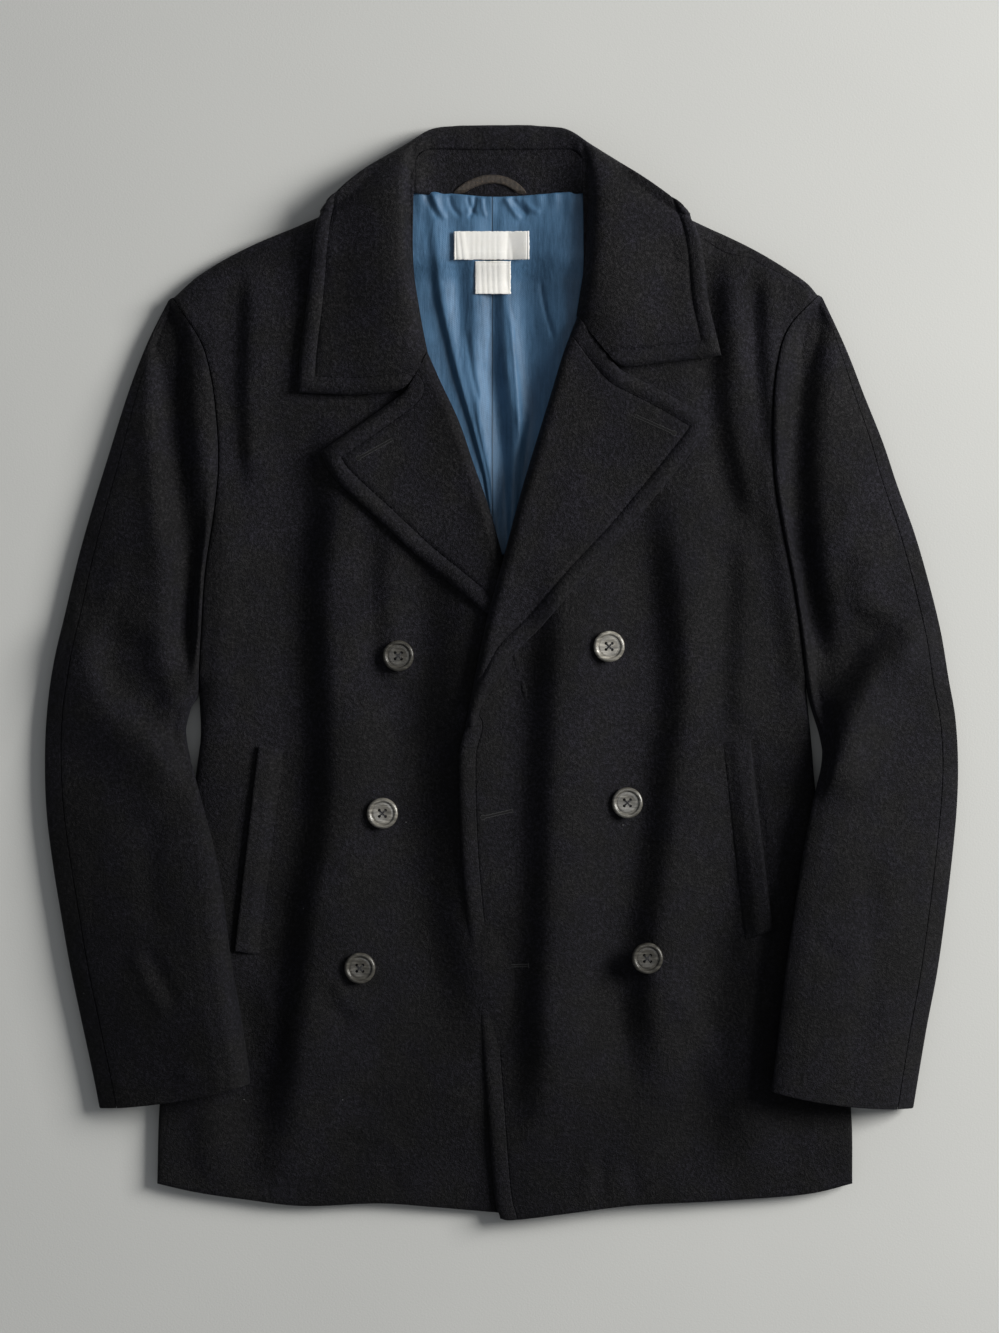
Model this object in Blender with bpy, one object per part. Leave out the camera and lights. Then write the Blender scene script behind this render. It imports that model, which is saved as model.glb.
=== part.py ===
# Double-breasted pea coat laid flat on its back, front upwards, sleeves down at its sides.
# The names right and left are the wearer's: the right front lies under, at -X.
# Lengths are in millimetres and become metres when a mesh is made. +Y runs from hem to collar.

import math

import bmesh
import bpy
import numpy as np

MM = 0.001

# Cloth and clearances
WALL = 2.6  # wool with its lining behind it
DOUBLE = 4.6  # collar and lapels, two layers of wool
LINING_WALL = 1.2
LABEL_WALL = 1.0
WELT_WALL = 3.0
LOOP_WALL = 1.6
SEAM = 0.5  # between pieces that are sewn to each other
ARMHOLE_SEAM = 1.0
LIE = 1.0  # between pieces that lie on each other
DRAPE = 2.2  # under a sleeve that lies over the body

# The outlines below are measured from a point between the buttons; this moves the coat on to its own middle.
CENTRE_Y = 0.1

# How the body lies
RIM_TOP = 8.5  # top of a front at the side seam and at the shoulder
RIM_REACH = 17.0
CURL = 3.0  # how far the back turns up to meet the fronts
CURL_REACH = 14.0
NECK_LIFT = 6.2  # the back leaf of the collar lies under the back
NECK_FROM = 294.0
NECK_REACH = 24.0
NECK_SIDE = 162.0
SETBACK = 5.6  # a front ends this far inside its roll line
LIP = 2.6  # width of the turned lip of a lapel at its roll
LIP_RISE = (0.55, 0.85, 1.0)  # share of its height at each column of the lip
LAPEL_RIM = 4.0  # width over which a lapel's edge is rounded off
LAPEL_EDGE = 0.4  # share of its thickness left at the edge
SPRING = 5.0  # how far a lapel stands off its front beside the roll
SPRING_REACH = 16.0
SPRING_TOP = (60.0, 130.0)  # y between which both lapels start to stand off
SPRING_FOOT = (-30.0, 60.0)  # the left lapel already stands off here
COLLAR_HUG = (24.0, 12.0)  # heights of the roll between which the back leaf starts to lie close
LIP_ROUND = 3.0  # how far the back of the collar swells between its seam and its roll

# Button, turned from its profile: distance in from the rim, height
BUTTON_ACROSS = 23.5
BUTTON_HIGH = 4.4
BUTTON_PROFILE = [(2.2, 0.0), (0.0, 1.9), (0.6, 3.9), (2.0, BUTTON_HIGH), (3.6, 3.2)]
BUTTON_DISH = 2.9  # height of the middle, which is dished
BUTTON_SIDES = 18
BUTTON_HOLE = 2.2
BUTTON_HOLE_SIDES = 6
BUTTON_HOLE_FROM_MIDDLE = 3.3
BUTTON_CLEAR = 0.4

# Outlines seen from above: x, y
SIDE_RIGHT = [(-261, -387), (-259, -324), (-251, -248), (-241, -172), (-232, -81), (-228, -47), (-229, -11)]
ARMHOLE_RIGHT = [(-227, 32), (-224, 77), (-217, 124), (-214, 160), (-216, 198), (-220, 226), (-228, 252)]
ARMHOLE_RIGHT += [(-249, 284)]
SHOULDER_RIGHT = [(-249, 284), (-227, 303), (-190, 324), (-144, 343), (-100, 360), (-65, 372)]
SIDE_LEFT = [(266, -387), (265, -331), (256, -248), (247, -172), (238, -90), (235, -54), (231, -14)]
ARMHOLE_LEFT = [(227, 25), (221, 66), (212, 112), (206, 150), (205, 195), (208, 232), (217, 261), (240, 286)]
SHOULDER_LEFT = [(240, 286), (227, 299), (188, 323), (144, 343), (98, 360), (61, 372)]
NECK = [(-65, 372), (-38, 365), (-2, 362), (34, 365), (61, 372)]
HEM_RIGHT = [(-261, -387), (-229, -394), (-194, -399), (-150, -404), (-94, -402), (-50, -405), (8, -410)]
HEM_LEFT = [(-1, -413), (10, -414), (51, -409), (102, -403), (165, -400), (230, -395), (266, -387)]
HEM_BACK = [(-261, -387), (-229, -392), (-150, -400), (0, -405), (102, -401), (230, -392), (266, -387)]
EDGE_RIGHT = [(8, -410), (18, -335), (26, -246), (31, -175), (37, -102), (35, -62), (22, -15)]
ROLL_RIGHT = [(22, -15), (11, 45), (-6, 114), (-21, 158), (-30, 190), (-42, 220), (-52, 241)]
EDGE_LEFT = [(-1, -413), (-6, -388), (-15, -272), (-23, -212), (-30, -139), (-32, -66), (-27, -40)]
ROLL_LEFT = [(-27, -40), (-22, -13), (-11, 41), (2, 89), (14, 134), (30, 184), (39, 214), (47, 241)]
ROLL_LEFT += [(61, 256)]
NECK_RIGHT = [(-60, 273), (-64, 302), (-66, 349), (-62, 368)]
NECK_LEFT = [(62, 280), (62, 302), (61, 349), (58, 368)]
LAPEL_RIGHT = [(17, -22), (-3, 34), (-20, 52), (-39, 68), (-61, 86), (-91, 114), (-125, 146), (-137, 167)]
LAPEL_RIGHT_TOP = [(-137, 167), (-105, 189), (-71, 211), (-51, 239)]
LAPEL_LEFT = [(-19, -40), (-14, -22), (-3, -7), (9, 14), (30, 35), (60, 70), (90, 102), (120, 138)]
LAPEL_LEFT += [(145, 169), (160, 190)]
LAPEL_LEFT_TOP = [(59.5, 254.5), (86.5, 225), (110, 215), (134, 205), (160, 190)]

# Height of the top of a front: y, beside the sleeve, at the middle of the coat
HEIGHT_RIGHT = [
    (-410, 10, 9),
    (-200, 11, 11),
    (-100, 12, 12),
    (0, 14, 14),
    (114, 15, 15),
    (241, 16, 16),
    (373, 13, 13),
]
HEIGHT_LEFT = [
    (-410, 10, 14),
    (-200, 11, 20),
    (-100, 12, 23),
    (0, 14, 25),
    (114, 15, 26),
    (200, 16, 20),
    (373, 13, 13),
]

# Folds of the fronts: rise, half-width, then the points that the fold runs through
FOLD_FADE = 0.18  # share of a fold's length over which it dies out at each end
FOLDS_RIGHT = [
    (-3.0, 9, [(-200, 288), (-193, 211)]),
    (-4.0, 10, [(-149, 150), (-146, -20), (-134, -75), (-133, -150), (-149, -230), (-147, -306)]),
    (-2.5, 8, [(-88, 66), (-84, -20)]),
    (4.0, 13, [(-117, 120), (-112, -20), (-114, -125)]),
    (2.5, 14, [(-58, 30), (-60, -150), (-56, -260)]),
    (2.0, 14, [(-190, 60), (-186, -40), (-176, -150)]),
]
FOLDS_LEFT = [
    (-4.0, 7, [(195, 289), (197, 172)]),
    (3.0, 9, [(181, 280), (182, 170)]),
    (-4.0, 9, [(118, 118), (125, 40), (130, -90), (136, -190)]),
    (-3.5, 11, [(44, -60), (38, -130), (27, -222), (28, -315)]),
    (2.5, 16, [(78, -20), (90, -120), (100, -230)]),
    (2.0, 14, [(170, 100), (172, -20), (170, -120)]),
]

# Sleeve sections from shoulder to cuff: outer x, outer y, inner x, inner y,
# height of the top, height of the inner edge, depth of the trough beside the armhole
SLEEVE_RIGHT = [
    (-254, 280, -245, 281, 12, 0, 0),
    (-268, 251, -228, 253, 18, 0, 1),
    (-283, 212, -219, 221, 22, 0, 3),
    (-299, 161, -214.5, 168, 25, 0, 5),
    (-311, 122, -217, 126, 26, 0, 5),
    (-321, 86, -224, 80, 26, 0, 5),
    (-331, 44, -227, 35, 25, 0, 4),
    (-339, 10, -229.5, -8, 25, 0, 3),
    (-344, -24, -236, -29, 25, 8, 2),
    (-346, -60, -238.5, -50, 26, 8, 1),
    (-345, -103, -228, -90, 27, 8, 0),
    (-340, -145, -217, -131, 30, 8, 0),
    (-333.5, -185, -210, -170, 32, 8, 0),
    (-327, -222, -205, -211, 33, 8, 0),
    (-318, -265, -198, -254, 33, 8, 0),
    (-310, -302, -193, -286, 32, 8, 0),
    (-304.5, -330, -190, -310, 31, 8, 0),
]
SLEEVE_LEFT = [
    (246, 281, 238, 282, 12, 0, 0),
    (261, 246, 216, 256, 18, 0, 1),
    (275, 210, 208, 226, 22, 0, 4),
    (289, 175, 205.5, 186, 25, 0, 6),
    (300, 142, 206.5, 146, 26, 0, 6),
    (313, 106, 213, 108, 26, 0, 6),
    (324, 68, 221.5, 66, 25, 0, 5),
    (333, 31, 227.5, 25, 25, 0, 4),
    (339, -5, 231.5, -10, 25, 3, 3),
    (344, -34, 241, -48, 25, 8, 2),
    (346, -68, 242, -66, 26, 8, 1),
    (345, -103, 234, -100, 28, 8, 0),
    (341, -145, 226, -141, 31, 8, 0),
    (336, -186, 219, -186, 33, 8, 0),
    (330, -228, 213, -228, 33, 8, 0),
    (322, -270, 208, -272, 32, 8, 0),
    (312, -330, 203, -315, 31, 8, 0),
]
HIND_SEAM = 0.885  # share of the width at which the under sleeve ends on the upper face
UNDER_RISE = 8.0  # height of the outer edge of a sleeve
CLIMB = (-48.0, -76.0)  # y between which the forearm climbs on to the body
CUFF_BOW = 3.5  # how far the cuff's edge bows out at its middle
TROUGH = (0.16, 0.1)  # share of the width at which the trough lies, and its half-width
UPPER_ROUND = 3.0  # power that rounds the upper face
UNDER_ROUND = 7.0  # the under face lies flatter
ARMHOLE_SLOPE = 0.8  # how much gentler the upper face rises beside the armhole
EDGE_TURN = 12.0  # width over which a sleeve's wall turns from flat to upright at an edge
UPPER_COLUMNS = 10
UNDER_COLUMNS = 12
UNDER_TURN = 8  # columns of the under sleeve before it turns up
TURN_SPREAD = 1.6
UPPER_SPREAD = 0.78 * math.pi  # how the columns crowd towards the armhole
SLEEVE_ROWS = 22
CROWD = 1.35  # how much closer rows lie where the outline bends most
SLEEVE_FOLDS_RIGHT = [
    (4.0, 12, [(-304, 30), (-306, 3), (-285, -31), (-254, -53), (-238, -90)]),
    (-3.0, 9, [(-292, 20), (-280, -8), (-250, -28)]),
    (-2.5, 12, [(-268, -120), (-262, -200)]),
]
SLEEVE_FOLDS_LEFT = [
    (-4.0, 9, [(299, 14), (276, -18), (252, -44)]),
    (3.5, 12, [(306, -6), (286, -38), (260, -66)]),
    (-2.5, 12, [(292, -110), (276, -200)]),
]

# Collar leaf from the right notch round the back of the neck to the left notch:
# lip x, y, z, then roll x, y, z, then outer edge x, y, z
COLLAR = [
    (-51, 242, 19, -53, 242, 27, -154, 212, 25),
    (-58, 273, 20, -60, 273, 31, -152, 242, 26),
    (-62, 310, 21, -65, 310, 34, -147, 280, 27),
    (-62, 349, 23, -66, 349, 34, -142, 315, 27),
    (-60, 374, 22, -66, 376, 31, -138, 340, 26),
    (-58, 389, 19, -63, 399, 22, -134, 357, 13),
    (-49, 396, 15, -50, 410, 9, -120, 348, 1),
    (-24, 398, 13.5, -26, 412.5, 6.5, -64, 333, 0),
    (-2, 398.5, 13.5, -2, 413.5, 6.5, 0, 328, 0),
    (20, 398, 13.5, 22, 412.5, 6.5, 68, 333, 0),
    (45, 396, 15, 46, 410, 9, 128, 346, 1),
    (54, 389, 19, 59, 399, 22, 145, 354, 13),
    (56, 374, 22, 62, 376, 31, 149, 337, 26),
    (58, 349, 23, 62, 349, 34, 153, 310, 27),
    (58, 310, 21, 62, 310, 34, 156, 282, 27),
    (58, 280, 20, 62, 280, 31, 161, 261, 27),
    (59, 258, 19, 61, 258, 27, 166, 240, 26),
]
COLLAR_END_RIGHT = [(-53, 242, 27), (-72, 214, 26), (-115, 210, 25), (-154, 212, 25)]
COLLAR_END_LEFT = [(61, 258, 27), (87, 228, 26.5), (104, 231, 26), (166, 240, 26)]

# Stand, hanger loop and labels
STAND_WALL = 4.0
STAND_TOP = [(-58, 371), (-55.5, 384), (-47, 391.5), (-24, 394.5), (-2, 395)]
STAND_TOP += [(20, 394.5), (43, 391.5), (51.5, 384), (54, 371)]
STAND_FOOT = [(-60, 365), (-30, 362.5), (-2, 362), (26, 362.5), (56, 365)]
STAND_LOW = 13.2
STAND_RISE = 8.0
LINING_TOP = [(-68, 361), (-30, 360.5), (-2, 360), (26, 360.5), (64, 361)]
LINING_EDGE = 10.0  # how far the lining runs on under the lapels
LINING_FOOT = 92.0
PLEAT = 2.2  # height of the centre pleat
GATHER = (1.2, 13.0)  # height of the gathers below the neck, and their spacing
WAVE = (1.0, 34.0)  # height of the soft lengthwise waves, and their spacing
LOOP = [(-31.5, 364), (-25.5, 369.5), (-15, 373.7), (-7.5, 374.5), (2.5, 372.8), (9.5, 368), (13.5, 364)]
LOOP_ACROSS = 5.0
LOOP_LIE = 0.4  # above the stand
LABEL_LIFT = 0.9  # above the lining's waves
LABEL = (-36.0, 21.0, 312.5, 334.0)
CARE_LABEL = (-20.0, 7.0, 287.0, 311.5)

# Pocket welts by their corners: inner top, outer top, outer foot, inner foot
WELT_LIE = 0.7  # above the front
WELT_EDGE = 0.8  # share of the thickness left at its long edges
WELT_RIGHT = [(-165, -58), (-184, -55), (-202.5, -211), (-184, -214)]
WELT_LEFT = [(167, -52), (188, -50), (205, -194), (184, -202)]

# Buttons: x, y
BUTTONS_RIGHT = [(-78, 13), (-90, -106), (-107, -223)]
BUTTONS_LEFT = [(81, 20), (95, -98), (110, -215)]


def step(low, high, value):
    share = min(max((value - low) / (high - low), 0.0), 1.0)
    return share * share * (3.0 - 2.0 * share)


def rounded(distance, reach):
    share = min(max(distance / reach, 0.0), 1.0)
    return math.sqrt(1.0 - (1.0 - share) ** 2)


def through(points, per_span=8):
    """A smooth line through the points, as a dense row of them."""
    known = np.array(points, float)
    padded = np.vstack([2 * known[0] - known[1], known, 2 * known[-1] - known[-2]])
    line = []
    for i in range(len(known) - 1):
        a, b, c, d = padded[i : i + 4]
        for s in np.arange(per_span) / per_span:
            bend = 2 * b + (c - a) * s + (2 * a - 5 * b + 4 * c - d) * s**2 + (3 * b - a - 3 * c + d) * s**3
            line.append(0.5 * bend)
    line.append(known[-1])
    return np.array(line)


def along(line, share):
    """The point at this share of a dense line's length."""
    lengths = np.concatenate([[0.0], np.cumsum(np.linalg.norm(np.diff(line, axis=0), axis=1))])
    return np.array([np.interp(share * lengths[-1], lengths, line[:, k]) for k in range(line.shape[1])])


def at_station(line, share):
    """The point at this share of a dense line's stations, whatever their distances."""
    place = share * (len(line) - 1)
    return np.array([np.interp(place, np.arange(len(line)), line[:, k]) for k in range(line.shape[1])])


def set_back(line, distance):
    """The line moved to its left by a distance."""
    run = np.gradient(line, axis=0)
    run /= np.linalg.norm(run, axis=1)[:, None]
    return line + distance * np.column_stack([-run[:, 1], run[:, 0]])


def away(line, x, y):
    """(distance to a dense line, share of its length) for the nearest of its points."""
    start, run = line[:-1, :2], np.diff(line[:, :2], axis=0)
    size = np.maximum((run**2).sum(axis=1), 1e-9)
    share = np.clip(((np.array([x, y]) - start) * run).sum(axis=1) / size, 0.0, 1.0)
    gaps = np.linalg.norm(start + run * share[:, None] - (x, y), axis=1)
    near = int(gaps.argmin())
    return gaps[near], (near + share[near]) / len(run)


def patch(bottom, top, left, right):
    """Fills the four dense lines: both sides run upwards, bottom and top run to +X."""

    def place(u, v):
        sides = (1 - u) * along(left, v) + u * along(right, v)
        ends = (1 - v) * along(bottom, u) + v * along(top, u)
        low = (1 - u) * bottom[0] + u * bottom[-1]
        high = (1 - u) * top[0] + u * top[-1]
        return sides + ends - (1 - v) * low - v * high

    return place


def cloth(name, colour, roughness):
    material = bpy.data.materials.new(name)
    material.use_nodes = True
    shader = material.node_tree.nodes["Principled BSDF"]
    shader.inputs["Base Color"].default_value = (*colour, 1.0)
    shader.inputs["Roughness"].default_value = roughness
    shader.inputs["Metallic"].default_value = 0.0
    return material


def finish(name, mesh_of, material):
    bmesh.ops.recalc_face_normals(mesh_of, faces=mesh_of.faces)
    mesh = bpy.data.meshes.new(name)
    mesh_of.to_mesh(mesh)
    mesh_of.free()
    mesh.materials.append(material)
    mesh.shade_smooth()
    piece = bpy.data.objects.new(name, mesh)
    bpy.context.scene.collection.objects.link(piece)
    return piece


def grid(columns, rows):
    """A grid of faces, with its vertices paired to their column and row."""
    sheet = bmesh.new()
    bmesh.ops.create_grid(sheet, x_segments=columns, y_segments=rows, size=0.5)
    sheet.verts.layers.int.new("order")
    cells = []
    for vert in sheet.verts:
        cells.append((vert, round((vert.co.x + 0.5) * columns), round((vert.co.y + 0.5) * rows)))
    return sheet, cells


def wall(name, material, columns, rows, point):
    """A wall of cloth: point(column, row) gives the place of its outer face and that of its inner face."""
    sheet, cells = grid(columns, rows)
    inner_places = []
    order = sheet.verts.layers.int["order"]
    for vert, column, row in cells:
        outer, inner = point(column, row)
        vert.co = [value * MM for value in outer]
        vert[order] = len(inner_places)
        inner_places.append([value * MM for value in inner])
    grown = bmesh.ops.extrude_face_region(sheet, geom=sheet.faces[:])["geom"]
    for vert in grown:
        if isinstance(vert, bmesh.types.BMVert):
            vert.co = inner_places[vert[order]]
    return finish(name, sheet, material)


def slab(name, material, columns, rows, point):
    """A wall that lies: point(column, row) gives x, y and the heights of its top and underside."""

    def faces(column, row):
        x, y, top, under = point(column, row)
        return (x, y, top), (x, y, under)

    return wall(name, material, columns, rows, faces)


def shell(name, material, columns, rows, point, thickness):
    """A wall of even thickness under the face that point(column, row) gives."""
    sheet, cells = grid(columns, rows)
    for vert, column, row in cells:
        vert.co = [value * MM for value in point(column, row)]
    mesh = bpy.data.meshes.new(name)
    sheet.to_mesh(mesh)
    sheet.free()
    mesh.materials.append(material)
    mesh.shade_smooth()
    piece = bpy.data.objects.new(name, mesh)
    bpy.context.scene.collection.objects.link(piece)
    thick = piece.modifiers.new("Wall", "SOLIDIFY")
    thick.thickness = thickness * MM
    thick.offset = -1.0
    thick.use_even_offset = True
    thick.use_quality_normals = True
    return piece


def neck_lift(x, y):
    below = step(NECK_FROM, NECK_FROM + NECK_REACH, y)
    return NECK_LIFT * below * step(NECK_SIDE, NECK_SIDE - NECK_REACH, abs(x))


class Front:
    """One front: its outline, and the height of its outer face at any place."""

    def __init__(self, side, armhole, shoulder, edge, roll, neck, heights, folds, side_sign):
        self.side = through(side)
        self.outer = through(side + armhole)
        self.shoulder = through(shoulder)
        turned = set_back(through(roll + neck), side_sign * SETBACK)
        self.centre = np.vstack([through(edge), turned[4:]])
        self.heights = np.array(heights, float)
        self.folds = [(rise, width, through(points)) for rise, width, points in folds]

    def top(self, x, y):
        outer_x = np.interp(y, self.outer[:, 1], self.outer[:, 0])
        centre_x = np.interp(y, self.centre[:, 1], self.centre[:, 0])
        share = step(0.0, 1.0, (x - outer_x) / (centre_x - outer_x))
        beside, middle = (np.interp(y, self.heights[:, 0], self.heights[:, k]) for k in (1, 2))
        height = beside + (middle - beside) * share + folded(self.folds, x, y)
        full = rounded(away(self.side, x, y)[0], RIM_REACH) * rounded(away(self.shoulder, x, y)[0], RIM_REACH)
        return RIM_TOP + (height - RIM_TOP) * full + 0.9 * neck_lift(x, y)


def folded(folds, x, y):
    """The sum of the folds at a place: each is a soft ridge or trough that fades at its ends."""
    total = 0.0
    for rise, width, line in folds:
        gap, share = away(line, x, y)
        fade = step(0.0, FOLD_FADE, share) * step(1.0, 1.0 - FOLD_FADE, share)
        total += rise * fade * math.exp(-((gap / width) ** 2))
    return total


FRONT_RIGHT = Front(
    side=SIDE_RIGHT,
    armhole=ARMHOLE_RIGHT,
    shoulder=SHOULDER_RIGHT,
    edge=EDGE_RIGHT,
    roll=ROLL_RIGHT,
    neck=NECK_RIGHT,
    heights=HEIGHT_RIGHT,
    folds=FOLDS_RIGHT,
    side_sign=1,
)
FRONT_LEFT = Front(
    side=SIDE_LEFT,
    armhole=ARMHOLE_LEFT,
    shoulder=SHOULDER_LEFT,
    edge=EDGE_LEFT,
    roll=ROLL_LEFT,
    neck=NECK_LEFT,
    heights=HEIGHT_LEFT,
    folds=FOLDS_LEFT,
    side_sign=-1,
)


def make_front(name, material, front, hem, mirrored):
    columns, rows = 18, 26
    if mirrored:
        place = patch(through(hem), front.shoulder[::-1], front.centre, front.outer)
    else:
        place = patch(through(hem), front.shoulder, front.outer, front.centre)

    def point(column, row):
        x, y = place(column / columns, 1 - (1 - row / rows) ** CROWD)
        top = front.top(x, y)
        return x, y, top, top - WALL

    return slab(name, material, columns, rows, point)


def make_back(name, material):
    columns, rows = 12, 22
    top_line = np.vstack([FRONT_RIGHT.shoulder, through(NECK)[1:-1], FRONT_LEFT.shoulder[::-1]])
    place = patch(through(HEM_BACK), top_line, FRONT_RIGHT.outer, FRONT_LEFT.outer)
    rims = [FRONT_RIGHT.side, FRONT_LEFT.side, FRONT_RIGHT.shoulder, FRONT_LEFT.shoulder]

    def point(column, row):
        x, y = place(column / columns, 1 - (1 - row / rows) ** CROWD)
        gap = min(away(rim, x, y)[0] for rim in rims)
        under = neck_lift(x, y) + CURL * max(0.0, 1.0 - gap / CURL_REACH) ** 2
        return x, y, under + WALL, under

    return slab(name, material, columns, rows, point)


def lining_base(x, y):
    return WALL + SEAM + LINING_WALL + GATHER[0] + WAVE[0] + neck_lift(x, y)


def lining_top(x, y):
    """The lining over the back: a centre pleat, gathers below the neck and soft lengthwise waves."""
    pleat = PLEAT * step(-14, -2, x) * step(3, 0, x) * step(110, 160, y)
    gathers = GATHER[0] * math.sin(x * math.tau / GATHER[1]) * step(312, 352, y)
    waves = WAVE[0] * math.sin(x * math.tau / WAVE[1] + 0.6) * step(100, 180, y) * step(365, 330, y)
    return lining_base(x, y) + pleat + gathers + waves


def make_lining(name, material):
    columns, rows = 22, 12
    left = [(x - LINING_EDGE, y) for x, y in ROLL_RIGHT[2:] + NECK_RIGHT[:-1]]
    right = [(x + LINING_EDGE, y) for x, y in ROLL_LEFT[4:] + NECK_LEFT[:-1]]
    left = through([(-14, LINING_FOOT)] + left + [LINING_TOP[0]])
    right = through([(12, LINING_FOOT)] + right + [LINING_TOP[-1]])
    foot = through([(-14, LINING_FOOT), (-1, LINING_FOOT - 3), (12, LINING_FOOT)])
    place = patch(foot, through(LINING_TOP), left, right)

    def point(column, row):
        x, y = place(column / columns, row / rows)
        top = lining_top(x, y)
        return x, y, top, top - LINING_WALL

    return slab(name, material, columns, rows, point)


def make_lapel(name, material, front, roll, outer, top_edge, mirrored):
    """A lapel turned over on its front. Its lip closes the roll over the front's own edge."""
    columns, rows = 11, 15
    lip = [0.0, 1.0, LIP, LIP + 0.5]
    roll_end = top_edge[0] if mirrored else top_edge[-1]
    roll_line, outer_line = through(roll[:-1] + [roll_end]), through(outer)
    top_line = through(top_edge)
    foot = np.array([roll[0], outer[0]], float)
    if mirrored:
        place = patch(foot, top_line, roll_line, outer_line)
    else:
        place = patch(foot[::-1], top_line, outer_line, roll_line)

    def point(column, row):
        v = row / rows
        width = np.linalg.norm(along(outer_line, v) - along(roll_line, v))
        if column < len(lip):
            from_roll = lip[column] / width
        else:
            start = lip[-1] / width
            from_roll = start + (1.0 - start) * (column - len(lip) + 1) / (columns - len(lip) + 1)
        x, y = place(from_roll if mirrored else 1.0 - from_roll, v)
        ground = front.top(x, y)
        standing = step(*SPRING_TOP, y)
        if mirrored:
            standing += step(*SPRING_FOOT, y) * (1.0 - standing)
        under = ground + LIE + SPRING * standing * math.exp(-from_roll * width / SPRING_REACH)
        rim = min(away(outer_line, x, y)[0], away(top_line, x, y)[0])
        top = under + DOUBLE * (LAPEL_EDGE + (1.0 - LAPEL_EDGE) * rounded(rim, LAPEL_RIM))
        if column < len(LIP_RISE):
            edge = ground - WALL if row > 1 else under
            top = edge + (top - edge) * LIP_RISE[column]
            under = edge
        return x, y, top, under

    return slab(name, material, columns, rows, point)


def make_collar(name, material):
    """The leaf, from its lip over the roll to its outer edge, right round the neck."""
    columns, rows = 40, 9
    table = np.array(COLLAR, float)
    lip, roll, outer = (through(table[:, k : k + 3]) for k in (0, 3, 6))
    ends = [through(COLLAR_END_RIGHT), through(COLLAR_END_LEFT)]

    def point(column, row):
        u = column / columns
        start, end = at_station(roll, u), at_station(outer, u)
        hug = step(*COLLAR_HUG, start[2])
        if row == 0:
            return at_station(lip, u)
        if row == 1:
            return 0.5 * (at_station(lip, u) + start) + np.array([0.0, 0.0, LIP_ROUND * hug])
        v = (row - 2) / (rows - 2)
        place = start + (end - start) * v
        place[2] = max(0.0, end[2] + (start[2] - end[2]) * (1 - v) ** (1 + 3 * hug))
        for line, share in zip(ends, (max(0.0, 1 - 8 * u), max(0.0, 8 * u - 7))):
            place += share * (along(line, v) - line[0] - (line[-1] - line[0]) * v)
        return place

    return shell(name, material, columns, rows, point, DOUBLE)


def make_stand(name, material):
    columns, rows = 16, 4
    foot, top_line = through(STAND_FOOT), through(STAND_TOP)
    place = patch(foot, top_line, np.array([foot[0], top_line[0]]), np.array([foot[-1], top_line[-1]]))

    def point(column, row):
        x, y = place(column / columns, row / rows)
        top = stand_top(x)
        return x, y, top, top - STAND_WALL

    return slab(name, material, columns, rows, point)


def stand_top(x):
    return STAND_LOW + STAND_RISE * (abs(x + 2) / 58) ** 4


def ground_under_sleeve(front, x, y):
    """The surface that a sleeve lies on: the floor, or the body with a slope up to it."""
    side_x = np.interp(y, front.side[:, 1], front.side[:, 0])
    inside = (side_x - x) if side_x > 0 else (x - side_x)
    on_body = front.top(x, y) + DRAPE if inside > 0 else RIM_TOP + DRAPE
    return on_body * step(-34.0, 0.0, inside) * step(*CLIMB, y)


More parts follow.
